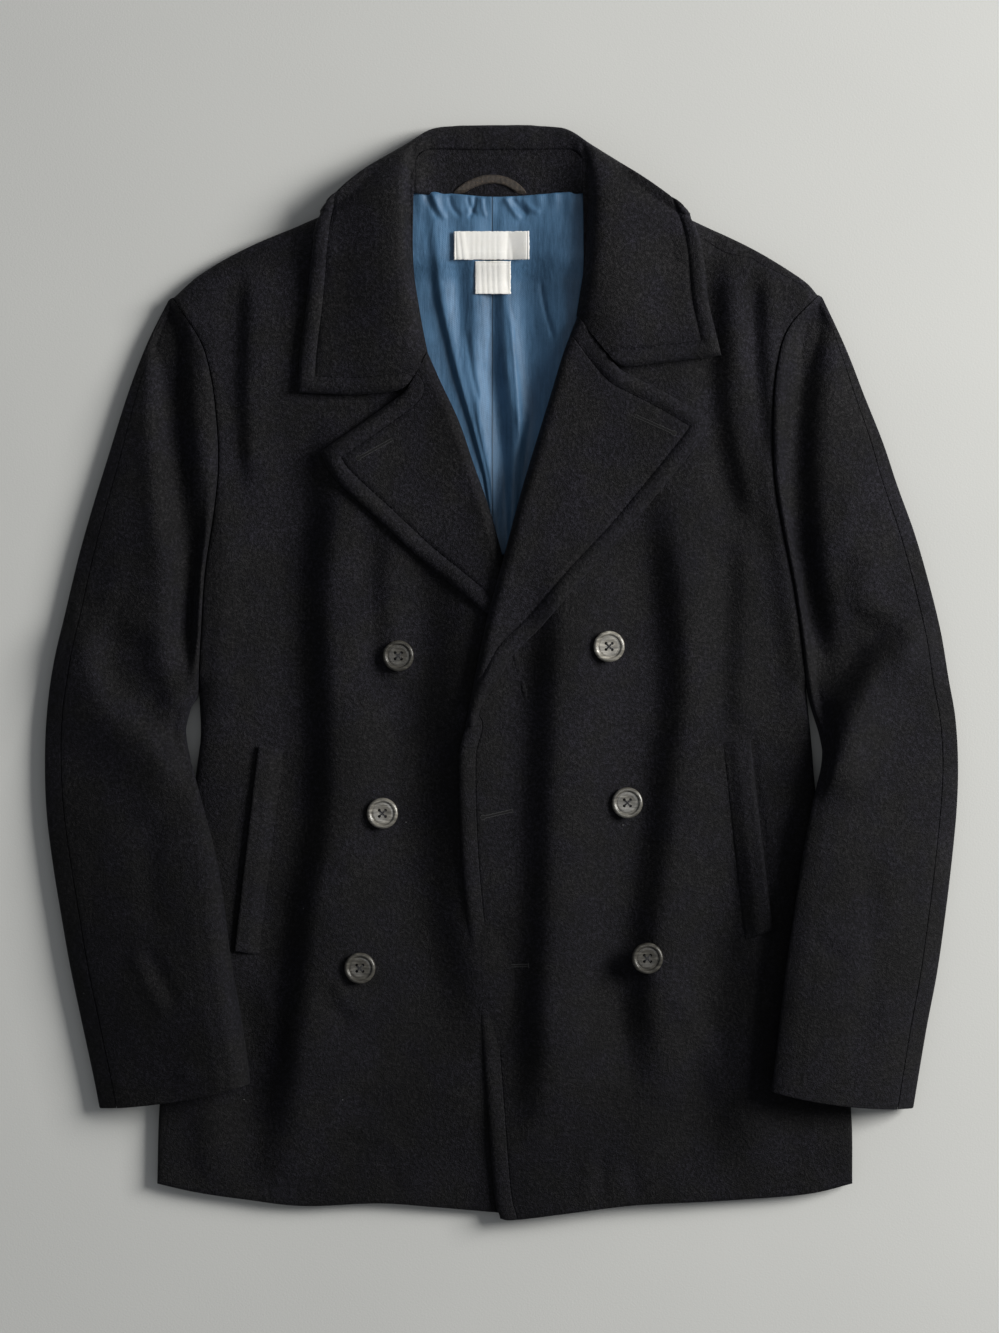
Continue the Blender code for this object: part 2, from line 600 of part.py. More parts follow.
def make_sleeve(name, material, front, table, folds):
    """The upper sleeve over the under sleeve, which turns up round the outer edge."""
    sections = through(table, 6)
    folds = [(rise, width, through(points)) for rise, width, points in folds]

    def face(v, p, upper):
        """(outer, inner) place of the cloth at share p of the width, from the inner edge."""
        outer_x, outer_y, inner_x, inner_y, high, inner_high, trough = along(sections, v)
        closed = step(0.0, 8.0, inner_high)
        armhole_x = np.interp(inner_y, front.outer[:, 1], front.outer[:, 0])
        inner_x = inner_x * closed + (armhole_x + math.copysign(ARMHOLE_SEAM, armhole_x)) * (1 - closed)
        across = np.array([outer_x - inner_x, outer_y - inner_y])
        width = np.linalg.norm(across)
        across /= width
        x, y = np.array([inner_x, inner_y]) + across * width * p
        y -= CUFF_BOW * v**6 * 4 * p * (1 - p)
        ground = ground_under_sleeve(front, x, y)
        beside = ground_under_sleeve(front, inner_x, inner_y) + inner_high
        inner_edge = front.top(inner_x, inner_y) * (1 - closed) + beside * closed
        edge = inner_edge + (UNDER_RISE - inner_edge) * p
        if upper:
            swell = math.sqrt(1.0 - abs(2 * p - 1) ** UPPER_ROUND)
            if p < 0.5:
                swell = swell ** (1.0 + ARMHOLE_SLOPE * (1 - closed))
            sunk = trough * math.exp(-(((p - TROUGH[0]) / TROUGH[1]) ** 2))
            z = edge + SEAM + (high - edge) * swell - sunk + folded(folds, x, y)
        else:
            flat = math.sqrt(1.0 - abs(2 * p - 1) ** UNDER_ROUND)
            rise = edge - ground if p > 0.5 else (edge - ground) * closed
            z = ground + rise * (1.0 - flat)
        open_side = closed if p < 0.5 else 1.0
        near = min(p, 1 - p) * width
        lean = math.pi / 2 * (1 - open_side * (1 - min(1.0, near / EDGE_TURN)))
        inward = across * WALL * math.cos(lean) * (1 if p < 0.5 else -1)
        inner_z = z - WALL * math.sin(lean) if upper else z + WALL * math.sin(lean)
        return (x, y, z), (x + inward[0], y + inward[1], inner_z)

    def seam_share(v):
        outer_x, outer_y, inner_x, inner_y = along(sections, v)[:4]
        return SEAM / math.hypot(outer_x - inner_x, outer_y - inner_y)

    def upper_point(column, row):
        v = (row / SLEEVE_ROWS) ** CROWD
        bend = (1.0 - math.cos(UPPER_SPREAD * column / UPPER_COLUMNS)) / (1.0 - math.cos(UPPER_SPREAD))
        return face(v, bend * (HIND_SEAM - seam_share(v)), True)

    def under_point(column, row):
        v = (row / SLEEVE_ROWS) ** CROWD
        if column <= UNDER_TURN:
            return face(v, 0.5 - 0.5 * math.cos(math.pi * column / UNDER_TURN), False)
        turned = (column - UNDER_TURN) / (UNDER_COLUMNS - UNDER_TURN)
        return face(v, 1.0 - (1.0 - HIND_SEAM) * turned**TURN_SPREAD, True)

    wall("upper_" + name, material, UPPER_COLUMNS, SLEEVE_ROWS, upper_point)
    wall("under_" + name, material, UNDER_COLUMNS, SLEEVE_ROWS, under_point)


def make_welt(name, material, front, corners):
    columns, rows = 2, 10
    inner_top, outer_top, outer_foot, inner_foot = (np.array(corner, float) for corner in corners)

    def point(column, row):
        u, v = column / columns, row / rows
        x, y = (1 - v) * ((1 - u) * outer_foot + u * inner_foot) + v * ((1 - u) * outer_top + u * inner_top)
        under = front.top(x, y) + WELT_LIE
        return x, y, under + WELT_WALL * (1.0 if column == 1 else WELT_EDGE), under

    return slab(name, material, columns, rows, point)


def make_button(name, material, front, x, y):
    """A turned disc with a raised rim and four holes, its face square to the camera."""
    half = BUTTON_ACROSS / 2
    foot = half - BUTTON_PROFILE[0][0]
    turns = np.linspace(0.0, math.tau, BUTTON_SIDES)
    beneath = [(x, y)] + [(x + foot * math.cos(turn), y + foot * math.sin(turn)) for turn in turns]
    seat = max(front.top(*place) for place in beneath) + BUTTON_CLEAR
    profile = [(0.0, 0.0)] + [(half - inset, z) for inset, z in BUTTON_PROFILE] + [(0.0, BUTTON_DISH)]
    disc = bmesh.new()
    verts = [disc.verts.new((r * MM, 0.0, z * MM)) for r, z in profile]
    edges = [disc.edges.new(pair) for pair in zip(verts, verts[1:])]
    bmesh.ops.spin(
        disc,
        geom=verts + edges,
        cent=(0, 0, 0),
        axis=(0, 0, 1),
        angle=math.tau,
        steps=BUTTON_SIDES,
        use_merge=True,
    )
    bmesh.ops.remove_doubles(disc, verts=disc.verts, dist=1e-6)
    button = finish(name, disc, material)
    button.location = (x * MM, y * MM, seat * MM)
    drill = bmesh.new()
    for quarter in range(4):
        angle = math.pi / 4 + quarter * math.pi / 2
        made = bmesh.ops.create_cone(
            drill,
            cap_ends=True,
            segments=BUTTON_HOLE_SIDES,
            radius1=BUTTON_HOLE / 2 * MM,
            radius2=BUTTON_HOLE / 2 * MM,
            depth=4 * BUTTON_HIGH * MM,
        )
        out = BUTTON_HOLE_FROM_MIDDLE * MM
        shift = (out * math.cos(angle), out * math.sin(angle), 0.0)
        bmesh.ops.translate(drill, verts=made["verts"], vec=shift)
    cutter = finish(name + "_holes", drill, material)
    cutter.location = button.location
    cutter.hide_render = True
    cutter.display_type = "WIRE"
    cut = button.modifiers.new("Holes", "BOOLEAN")
    cut.operation = "DIFFERENCE"
    cut.object = cutter
    return button


def make_loop(name, material):
    columns, rows = 14, 1
    line = through(LOOP)

    def point(column, row):
        u = column / columns
        x, y = along(line, u)
        ahead, behind = along(line, min(u + 0.02, 1.0)), along(line, max(u - 0.02, 0.0))
        run = (ahead - behind) / np.linalg.norm(ahead - behind)
        side = (row - 0.5) * LOOP_ACROSS
        x, y = x - run[1] * side, y + run[0] * side
        under = stand_top(x) + LOOP_LIE
        return x, y, under + LOOP_WALL, under

    return slab(name, material, columns, rows, point)


def make_label(name, material, box):
    columns, rows = 8, 3
    x_from, x_to, y_from, y_to = box

    def point(column, row):
        x = x_from + (x_to - x_from) * column / columns
        y = y_from + (y_to - y_from) * row / rows
        over_pleat = PLEAT * step(-30, -6, x) * step(16, 2, x)
        under = lining_base(x, y) + over_pleat + WAVE[0] + LABEL_LIFT
        return x, y, under + LABEL_WALL, under

    return slab(name, material, columns, rows, point)


def main():
    for leftover in list(bpy.data.objects):
        bpy.data.objects.remove(leftover, do_unlink=True)
    wool = cloth("navy_wool", (0.011, 0.012, 0.018), 0.92)
    satin = cloth("blue_lining", (0.062, 0.155, 0.275), 0.45)
    horn = cloth("dark_horn", (0.035, 0.031, 0.031), 0.35)
    tape = cloth("hanger_tape", (0.075, 0.062, 0.058), 0.7)
    woven = cloth("white_label", (0.62, 0.64, 0.66), 0.75)

    make_back("back", wool)
    make_lining("lining", satin)
    make_front("front_right", wool, FRONT_RIGHT, HEM_RIGHT, False)
    make_front("front_left", wool, FRONT_LEFT, HEM_LEFT, True)
    make_lapel("lapel_right", wool, FRONT_RIGHT, ROLL_RIGHT, LAPEL_RIGHT, LAPEL_RIGHT_TOP, False)
    make_lapel("lapel_left", wool, FRONT_LEFT, ROLL_LEFT, LAPEL_LEFT, LAPEL_LEFT_TOP, True)
    make_collar("collar", wool)
    make_stand("collar_stand", wool)
    make_sleeve("sleeve_right", wool, FRONT_RIGHT, SLEEVE_RIGHT, SLEEVE_FOLDS_RIGHT)
    make_sleeve("sleeve_left", wool, FRONT_LEFT, SLEEVE_LEFT, SLEEVE_FOLDS_LEFT)
    make_welt("pocket_welt_right", wool, FRONT_RIGHT, WELT_RIGHT)
    make_welt("pocket_welt_left", wool, FRONT_LEFT, WELT_LEFT)
    for number, (x, y) in enumerate(BUTTONS_RIGHT, 1):
        make_button(f"button_right_{number}", horn, FRONT_RIGHT, x, y)
    for number, (x, y) in enumerate(BUTTONS_LEFT, 1):
        make_button(f"button_left_{number}", horn, FRONT_LEFT, x, y)
    make_loop("hanger_loop", tape)
    make_label("label", woven, LABEL)
    make_label("care_label", woven, CARE_LABEL)
    for piece in bpy.data.objects:
        piece.location.y += CENTRE_Y * MM


main()
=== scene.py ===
# Double-breasted pea coat laid flat on its back: its cloth, its sewing, its buttons and the light on it.
# Right and left are the wearer's: the right front lies under, at -X. The tables are in millimetres,
# measured from a point between the buttons; placeOf() turns them into metres.
import math

import bmesh
import bpy
import numpy as np
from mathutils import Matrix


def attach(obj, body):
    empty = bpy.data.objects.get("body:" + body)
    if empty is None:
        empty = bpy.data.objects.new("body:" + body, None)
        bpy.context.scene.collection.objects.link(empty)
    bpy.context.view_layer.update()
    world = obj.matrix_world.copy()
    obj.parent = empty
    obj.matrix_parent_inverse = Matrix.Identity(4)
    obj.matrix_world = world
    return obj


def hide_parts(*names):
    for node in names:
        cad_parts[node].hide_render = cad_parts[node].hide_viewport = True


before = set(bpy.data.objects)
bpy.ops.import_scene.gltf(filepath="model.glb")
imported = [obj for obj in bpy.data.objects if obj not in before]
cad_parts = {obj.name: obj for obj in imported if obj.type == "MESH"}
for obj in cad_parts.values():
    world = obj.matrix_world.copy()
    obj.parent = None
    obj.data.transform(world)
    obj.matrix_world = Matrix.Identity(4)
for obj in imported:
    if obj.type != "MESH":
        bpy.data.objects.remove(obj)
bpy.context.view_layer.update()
print("frame loaded")

mm = 0.001
centreY = 0.1  # how far up the coat from the middle of its box the tables' zero lies
seamMark = 50.0  # a seam's mark on the seam itself; cloth without that mark reads 0 there

cloth = {
    "wall": 2.6,  # wool with its lining behind it
    "double": 4.6,  # collar and lapels, two layers
    "seam": 0.5,  # between pieces that are sewn to each other
    "armholeSeam": 0.5,
    "lie": 1.0,  # between pieces that lie on each other
    "drape": 2.2,  # under a sleeve that lies over the body
    "rim": 4.2,  # width over which a turned edge rounds off
    "rimLeast": 0.12,  # share of the wall left at the very edge
    "border": 12.5,  # from a turned edge to its row of stitches
    "borderPuff": 1.3,
    "ditch": 1.2,
    "ditchWidth": 1.7,
    "pull": (0.75, 0.25, 9.0),  # middle, swing and length of how deep the stitches draw in
    "seamDitch": (0.7, 1.8),
    "seamReach": 30.0,  # a seam's mark goes no further from it
    "relief": 1.35,  # how much the listed steps stand out
}

# Distances from a turned edge at which its wall has a row of points
hemSteps = [0.0, 0.2, 0.5, 0.95, 1.5, 2.3, 3.4]
edgeSteps = hemSteps + [5.0, 7.0, 9.0, 10.6, 11.5, 12.1, 12.5, 12.9, 13.5, 14.4, 15.8]


# Shaping

def smooth(low, high, value):
    share = np.clip((value - low) / (high - low), 0.0, 1.0)
    return share * share * (3.0 - 2.0 * share)


def rounded(distance, reach):
    share = np.clip(distance / reach, 0.0, 1.0)
    return np.sqrt(1.0 - (1.0 - share) ** 2)


def bell(distance, width):
    return np.exp(-((distance / width) ** 2))


def through(points, perSpan=8):  # a smooth dense line through the points
    known = np.array(points, float)
    padded = np.vstack([2 * known[0] - known[1], known, 2 * known[-1] - known[-2]])
    line = []
    for i in range(len(known) - 1):
        a, b, c, d = padded[i : i + 4]
        for s in np.arange(perSpan) / perSpan:
            bend = 2 * b + (c - a) * s + (2 * a - 5 * b + 4 * c - d) * s**2 + (3 * b - a - 3 * c + d) * s**3
            line.append(0.5 * bend)
    line.append(known[-1])
    return np.array(line)


def lengthsOf(line):
    return np.concatenate([[0.0], np.cumsum(np.linalg.norm(np.diff(line, axis=0), axis=1))])


def along(line, share):  # the points at these shares of a dense line's length
    lengths = lengthsOf(line)
    return np.stack([np.interp(share * lengths[-1], lengths, values) for values in line.T], axis=-1)


def atStation(line, share):  # the points at these shares of its stations, whatever their distances
    place = share * (len(line) - 1)
    return np.stack([np.interp(place, np.arange(len(line)), values) for values in line.T], axis=-1)


def setBack(line, distance):  # the line moved to its left
    run = np.gradient(line, axis=0)
    run /= np.linalg.norm(run, axis=1)[:, None]
    return line + distance * np.column_stack([-run[:, 1], run[:, 0]])


def nearest(line, x, y):  # distance to a dense line, side of it (1 is its left) and share of its length
    start, run = line[:-1, :2], np.diff(line[:, :2], axis=0)
    size = np.maximum((run**2).sum(axis=1), 1e-9)
    place = np.stack(np.broadcast_arrays(x, y), axis=-1)[..., None, :] - start
    share = np.clip((place * run).sum(axis=-1) / size, 0.0, 1.0)
    offset = place - run * share[..., None]
    gaps = np.linalg.norm(offset, axis=-1)
    near = gaps.argmin(axis=-1)[..., None]
    turned = np.take_along_axis(run[:, 0] * offset[..., 1] - run[:, 1] * offset[..., 0], near, -1)[..., 0]
    gap = np.take_along_axis(gaps, near, -1)[..., 0]
    lengths = lengthsOf(line[:, :2])
    spot = near[..., 0] + np.take_along_axis(share, near, -1)[..., 0]
    run = np.interp(spot, np.arange(len(lengths)), lengths / lengths[-1])
    return gap, np.where(turned < 0, -1.0, 1.0), run


def patch(bottom, top, left, right):  # fills four dense lines: sides run upwards, ends run to +X
    def place(u, v):
        u, v = np.broadcast_arrays(u, v)
        across, up = u[..., None], v[..., None]
        sides = (1 - across) * along(left, v) + across * along(right, v)
        ends = (1 - up) * along(bottom, u) + up * along(top, u)
        low = (1 - across) * bottom[0] + across * bottom[-1]
        high = (1 - across) * top[0] + across * top[-1]
        return sides + ends - (1 - up) * low - up * high

    return place


def stations(width, low, high, count):  # shares at fixed distances from both ends, even between them
    width = np.asarray(width, float)[..., None]
    start, end = np.array(low) / width, 1.0 - np.array(high)[::-1] / width
    first, last = start[..., -1:], end[..., :1]
    return np.concatenate([start, first + (last - first) * np.linspace(0, 1, count + 1)[1:-1], end], axis=-1)


def folded(folds, x, y, fadeShare=0.18):  # soft ridges and troughs: rise, half-width, points
    total = np.zeros(np.broadcast(x, y).shape)
    for rise, width, points in folds:
        gap, side, share = nearest(through(points), x, y)
        total += rise * smooth(0.0, fadeShare, share) * smooth(1.0, 1.0 - fadeShare, share) * bell(gap, width)
    return total


# The cloth steps up to the left of each line: rise, half-width, reach, points
def stepped(creases, x, y, fadeShare=0.2):
    total = np.zeros(np.broadcast(x, y).shape)
    for rise, width, reach, points in creases:
        gap, side, share = nearest(through(points), x, y)
        offset = gap / width
        profile = np.where(offset < 1.0, offset * np.exp(0.5 - 0.5 * offset**2), bell(gap - width, reach))
        total += rise * side * profile * smooth(0.0, fadeShare, share) * smooth(1.0, 1.0 - fadeShare, share)
    return total


def rumple(x, y, size, seed):  # soft unevenness between -1 and 1, bumps of about this size
    cells = 64  # after which the pattern comes again
    heights = np.random.RandomState(seed).rand(cells, cells) * 2.0 - 1.0
    across, up = x / size + 3200.3, y / size + 3200.7  # so that no bump sits right on the coat's middle
    column, row = np.floor(across).astype(int), np.floor(up).astype(int)
    a, b = across - column, up - row
    a, b = a * a * (3 - 2 * a), b * b * (3 - 2 * b)

    def at(rows, columns):
        return heights[rows % cells, columns % cells]

    low = at(row, column) * (1 - a) + at(row, column + 1) * a
    high = at(row + 1, column) * (1 - a) + at(row + 1, column + 1) * a
    return low * (1 - b) + high * b


def turnedEdge(gap, run):  # what a row of stitches along an edge does to the cloth beside it
    swell = cloth["borderPuff"] * np.sin(np.pi * np.clip(gap / cloth["border"], 0.0, 1.0)) ** 0.7
    middle, swing, length = cloth["pull"]
    pull = middle + swing * rumple(run, 0.0 * run, length, 5)
    return swell - cloth["ditch"] * pull * bell(gap - cloth["border"], cloth["ditchWidth"])


def pinch(outer, inner, gap, reach=None):  # rounds a wall off towards its edge
    reach = cloth["rim"] if reach is None else reach
    share = (cloth["rimLeast"] + (1 - cloth["rimLeast"]) * rounded(gap, reach))[..., None]
    middle = 0.5 * (outer + inner)
    return middle + (outer - middle) * share, middle + (inner - middle) * share


# Building

def placeOf(points):
    return (points + np.array([0.0, centreY, 0.0])) * mm


def placed(name, data):  # a new object in the scene
    made = bpy.data.objects.new(name, data)
    bpy.context.scene.collection.objects.link(made)
    return made


def finishPiece(name, shape, material):
    mesh = bpy.data.meshes.new(name)
    shape.to_mesh(mesh)
    shape.free()
    mesh.materials.append(material)
    mesh.shade_smooth()
    return placed(name, mesh)


def finalMesh(piece):  # a copy of its mesh as its modifiers or its curve make it
    depsgraph = bpy.context.evaluated_depsgraph_get()
    return bpy.data.meshes.new_from_object(piece.evaluated_get(depsgraph))


def clothWall(name, outer, inner, material, marks=None):  # a closed wall between two grids of points
    rows, columns = outer.shape[0] - 1, outer.shape[1] - 1
    outerPlaces, innerPlaces = placeOf(outer).reshape(-1, 3), placeOf(inner).reshape(-1, 3)
    sheet = bmesh.new()
    bmesh.ops.create_grid(sheet, x_segments=columns, y_segments=rows, size=0.5)
    order = sheet.verts.layers.int.new("order")
    for vert in sheet.verts:
        column, row = round((vert.co.x + 0.5) * columns), round((vert.co.y + 0.5) * rows)
        vert[order] = row * (columns + 1) + column
        vert.co = outerPlaces[vert[order]]
    for part in bmesh.ops.extrude_face_region(sheet, geom=sheet.faces[:])["geom"]:
        if isinstance(part, bmesh.types.BMVert):
            part.co = innerPlaces[part[order]]
    bmesh.ops.recalc_face_normals(sheet, faces=sheet.faces)
    piece = finishPiece(name, sheet, material)
    mesh = piece.data
    index = np.zeros(len(mesh.vertices), np.int32)
    mesh.attributes["order"].data.foreach_get("value", index)
    for mark, values in (marks or {}).items():
        layer = mesh.attributes.new(mark, "FLOAT", "POINT")
        values = np.broadcast_to(values, outer.shape[:2]).ravel()
        layer.data.foreach_set("value", values[index].astype(np.float32))
    mesh.attributes.remove(mesh.attributes["order"])
    return piece


# A wall that lies flat; gap is the distance from its edge
def laidWall(name, x, y, top, under, gap, material, marks=None, reach=None):
    outer, inner = np.stack([x, y, top], axis=-1), np.stack([x, y, under], axis=-1)
    outer, inner = pinch(outer, inner, gap, reach)
    return clothWall(name, outer, inner, material, marks)


def dress(piece, slotName, *nodes):
    if nodes:
        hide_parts(*nodes)
    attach(piece, "root")
    return piece


# Finishes

def newMaterial(name, colour, roughness, more=None):  # more: further values of the shader, by name
    material = bpy.data.materials.new(name)
    material.use_nodes = True
    shader = material.node_tree.nodes["Principled BSDF"]
    values = {"Base Color": (*colour, 1.0), "Roughness": roughness, **(more or {})}
    for key, value in values.items():
        shader.inputs[key].default_value = value
    return material, material.node_tree, shader


def node(tree, kind, label, **values):
    made = tree.nodes.new(kind)
    made.label = label
    for key, value in values.items():
        if key in made.inputs:
            made.inputs[key].default_value = value
        else:
            setattr(made, key, value)
    return made


def feed(tree, socket, value):  # a link from another node, a colour or a number
    if isinstance(value, bpy.types.NodeSocket):
        tree.links.new(value, socket)
    else:
        socket.default_value = (*value, 1.0) if isinstance(value, tuple) else value


def mathOf(tree, operation, a, *others):
    made = node(tree, "ShaderNodeMath", operation.lower(), operation=operation)
    for socket, value in zip(made.inputs, (a, *others)):
        feed(tree, socket, value)
    return made.outputs[0]


def summed(tree, *parts):  # each part times its share, added up
    total = None
    for value, share in parts:
        part = mathOf(tree, "MULTIPLY", value, share)
        total = part if total is None else mathOf(tree, "ADD", total, part)
    return total


def placeIn(tree):
    return node(tree, "ShaderNodeTexCoord", "place").outputs["Object"]


def drawnOut(tree, coordinates, scale, turn=0.0):
    made = node(tree, "ShaderNodeMapping", "drawnOut", Scale=scale, Rotation=(0.0, 0.0, turn))
    tree.links.new(coordinates, made.inputs["Vector"])
    return made.outputs["Vector"]


def noiseOf(tree, coordinates, scale, detail=2.0, roughness=0.5, label="noise"):
    made = node(tree, "ShaderNodeTexNoise", label, Scale=scale, Detail=detail, Roughness=roughness)
    tree.links.new(coordinates, made.inputs["Vector"])
    return made.outputs["Fac"]


def waveOf(tree, coordinates, direction, scale, distortion, label):
    made = node(tree, "ShaderNodeTexWave", label, bands_direction=direction)
    made.inputs["Scale"].default_value = scale
    made.inputs["Distortion"].default_value = distortion
    tree.links.new(coordinates, made.inputs["Vector"])
    return made.outputs["Fac"]


def ramp(tree, value, stops, label="colours"):
    made = node(tree, "ShaderNodeValToRGB", label)
    marks = made.color_ramp.elements
    while len(marks) < len(stops):
        marks.new(0.5)
    for mark, (place, colour) in zip(marks, stops):
        mark.position = place
        mark.color = (*colour, 1.0)
    tree.links.new(value, made.inputs["Fac"])
    return made.outputs["Color"]


def spread(tree, value, low, high, to=(0.0, 1.0), label="spread"):
    ends = {"From Min": low, "From Max": high, "To Min": to[0], "To Max": to[1]}
    made = node(tree, "ShaderNodeMapRange", label, **ends)
    tree.links.new(value, made.inputs["Value"])
    return made.outputs["Result"]


def mixColour(tree, share, a, b, label="mix", blend="MIX"):
    made = node(tree, "ShaderNodeMix", label, data_type="RGBA", blend_type=blend)
    for index, value in ((0, share), (6, a), (7, b)):  # the sockets that a mix of colours uses
        feed(tree, made.inputs[index], value)
    return made.outputs[2]


def multiplied(tree, a, b):
    return mixColour(tree, 1.0, a, b, "times", "MULTIPLY")


def bumpFrom(tree, shader, height, distance=0.001, strength=1.0):
    bump = node(tree, "ShaderNodeBump", "relief", Distance=distance, Strength=strength)
    tree.links.new(height, bump.inputs["Height"])
    tree.links.new(bump.outputs["Normal"], shader.inputs["Normal"])


def awayFrom(tree, mark, middle):  # distance from where a mark on the cloth has this value
    made = node(tree, "ShaderNodeAttribute", mark, attribute_name=mark)
    return mathOf(tree, "ABSOLUTE", mathOf(tree, "SUBTRACT", made.outputs["Fac"], middle))


wool = {
    "melange": [
        (0.36, (0.0015, 0.0015, 0.0020)), (0.5, (0.0056, 0.0056, 0.0069)), (0.66, (0.0240, 0.0235, 0.0275)),
    ],
    "mottle": 420.0,  # bumps to the metre
    "fibre": 1250.0,
    "cloud": 22.0,
    "shares": (0.5, 0.38, 0.12),  # of mottle, fibre and cloud in the melange
    "dye": 28.0,
    "dyeTint": [(0.42, (1.02, 1.0, 0.92)), (0.58, (1.0, 0.97, 1.14))],  # its unevenness, as a factor
    "worn": (1.12, 0.66),  # painted light: factors on the colour at the shoulders and at the hem, lighter up the coat
    "paintedLightFadeFrom": (0.36, -0.30),  # metres up the coat between which the painted light fade runs
    "lint": (0.16, 0.16, 0.17),
    "lintCells": 62.0,
    "lintSize": (0.028, 0.016),
    "lintPicked": (0.80, 0.84),  # few cells have a speck
    "nap": 0.9,
    "lumps": 1.3,
    "stitch": 3.6,  # from one stitch to the next
    "stitchDepth": (0.35, 0.8),
    "seamDepth": 0.8,
    "roughness": 0.64,
    "surface": {
        "Sheen Weight": 0.05,
        "Sheen Roughness": 0.45,
        "Sheen Tint": (0.62, 0.63, 0.72, 1.0),
        "Specular IOR Level": 0.10,
    },
}


def meltonWool():
    middle = wool["melange"][1][1]
    material, tree, shader = newMaterial("meltonWool", middle, wool["roughness"], wool["surface"])
    spot = placeIn(tree)
    mottle = noiseOf(tree, spot, wool["mottle"], 3.0, 0.62, "mottle")
    fibre = noiseOf(tree, spot, wool["fibre"], 2.0, 0.6, "fibre")
    cloud = noiseOf(tree, spot, wool["cloud"], 2.0, 0.5, "cloud")
    blend = summed(tree, *zip((mottle, fibre, cloud), wool["shares"]))
    colour = ramp(tree, blend, wool["melange"], "melange")
    dye = noiseOf(tree, spot, wool["dye"], 3.0, 0.6, "dye")
    colour = multiplied(tree, colour, ramp(tree, dye, wool["dyeTint"], "dyeTint"))
    apart = node(tree, "ShaderNodeSeparateXYZ", "alongCoat")
    tree.links.new(spot, apart.inputs[0])
    # painted light: the wool's colour is made lighter towards the shoulders and darker towards the hem
    worn = spread(tree, apart.outputs["Y"], *wool["paintedLightFadeFrom"], wool["worn"], "worn")
    colour = multiplied(tree, colour, worn)
    cells = node(tree, "ShaderNodeTexVoronoi", "lint", Scale=wool["lintCells"])
    tree.links.new(spot, cells.inputs["Vector"])
    near = spread(tree, cells.outputs["Distance"], *wool["lintSize"], label="speck")
    picked = spread(tree, cells.outputs["Color"], *wool["lintPicked"], label="fewOfThem")
    colour = mixColour(tree, mathOf(tree, "MULTIPLY", near, picked), colour, wool["lint"], "lintOnWool")
    tree.links.new(colour, shader.inputs["Base Color"])
    height = summed(
        tree,
        (mathOf(tree, "SUBTRACT", fibre, 0.5), wool["nap"]),
        (mathOf(tree, "SUBTRACT", mottle, 0.5), wool["lumps"]),
    )
    run = node(tree, "ShaderNodeAttribute", "run", attribute_name="run").outputs["Fac"]
    line = spread(tree, awayFrom(tree, "border", cloth["border"]), 0.75, 0.1, label="stitchLine")
    dash = mathOf(tree, "SINE", mathOf(tree, "MULTIPLY", run, math.tau / wool["stitch"]))
    dash = spread(tree, dash, -1.0, 1.0, wool["stitchDepth"], "stitches")
    height = mathOf(tree, "SUBTRACT", height, mathOf(tree, "MULTIPLY", line, dash))
    seamLine = spread(tree, awayFrom(tree, "seam", seamMark), 0.9, 0.1, label="seamLine")
    height = mathOf(tree, "SUBTRACT", height, mathOf(tree, "MULTIPLY", seamLine, wool["seamDepth"]))
    bumpFrom(tree, shader, height, 0.001, 0.8)
    return material


satin = {
    "deep": (0.029, 0.082, 0.156),
    "face": (0.062, 0.150, 0.268),
    # painted shadow: the colour that darkens the satin along the centre seam's groove
    "seam": (0.012, 0.030, 0.055),
    "paintedSeamShadow": 0.85,
    "cloud": 30.0,  # bumps to the metre
    "thread": 1600.0,
    "streak": 330.0,
    "drawn": (1.0, 0.16, 1.0),  # the streaks run along the coat
    "shares": (0.4, 0.25, 0.35),  # of cloud, thread and streak in the colour
    "weave": 420.0,
    "wrinkle": 110.0,
    "roughness": 0.56,
    "surface": {
        "Sheen Weight": 0.12,
        "Sheen Roughness": 0.35,
        "Sheen Tint": (0.7, 0.82, 1.0, 1.0),
        "Specular IOR Level": 0.35,
    },
}


def blueSatin():
    material, tree, shader = newMaterial("blueSatin", satin["face"], satin["roughness"], satin["surface"])
    spot = placeIn(tree)
    cloud = noiseOf(tree, spot, satin["cloud"], 2.0, 0.5, "cloud")
    thread = noiseOf(tree, spot, satin["thread"], 1.0, 0.5, "thread")
    streak = noiseOf(tree, drawnOut(tree, spot, satin["drawn"]), satin["streak"], 3.0, 0.6, "streak")
    blend = summed(tree, *zip((cloud, thread, streak), satin["shares"]))
    colour = ramp(tree, blend, [(0.36, satin["deep"]), (0.58, satin["face"])], "satinColour")
    seam = awayFrom(tree, "seam", seamMark)
    # painted shadow along the centre seam, mixed into the satin's colour
    shade = spread(tree, seam, 0.75, 0.3, (0.0, satin["paintedSeamShadow"]), "paintedSeamShadow")
    tree.links.new(mixColour(tree, shade, colour, satin["seam"], "paintedSeamShadow"), shader.inputs["Base Color"])
    weave = waveOf(tree, spot, "DIAGONAL", satin["weave"], 1.5, "weave")
    wrinkle = noiseOf(tree, spot, satin["wrinkle"], 3.0, 0.6, "wrinkle")
    height = summed(tree, (weave, 0.05), (wrinkle, 0.5), (streak, 0.55), (spread(tree, seam, 0.8, 0.1), -0.2))
    bumpFrom(tree, shader, height, 0.001, 0.8)
    return material


horn = {
    "grain": [(0.35, (0.046, 0.043, 0.036)), (0.55, (0.100, 0.094, 0.080)), (0.7, (0.20, 0.19, 0.165))],
    "bumps": 110.0,
    "drawn": (1.0, 5.0, 1.0),
    "turn": {"right": 4.5, "left": 3.9},  # which way the grain runs, in radians
    "scuffs": 900.0,
    "roughness": (0.24, 0.40),
    "coat": 0.8,
    "coatRoughness": 0.22,
    "gloss": 0.5,
}


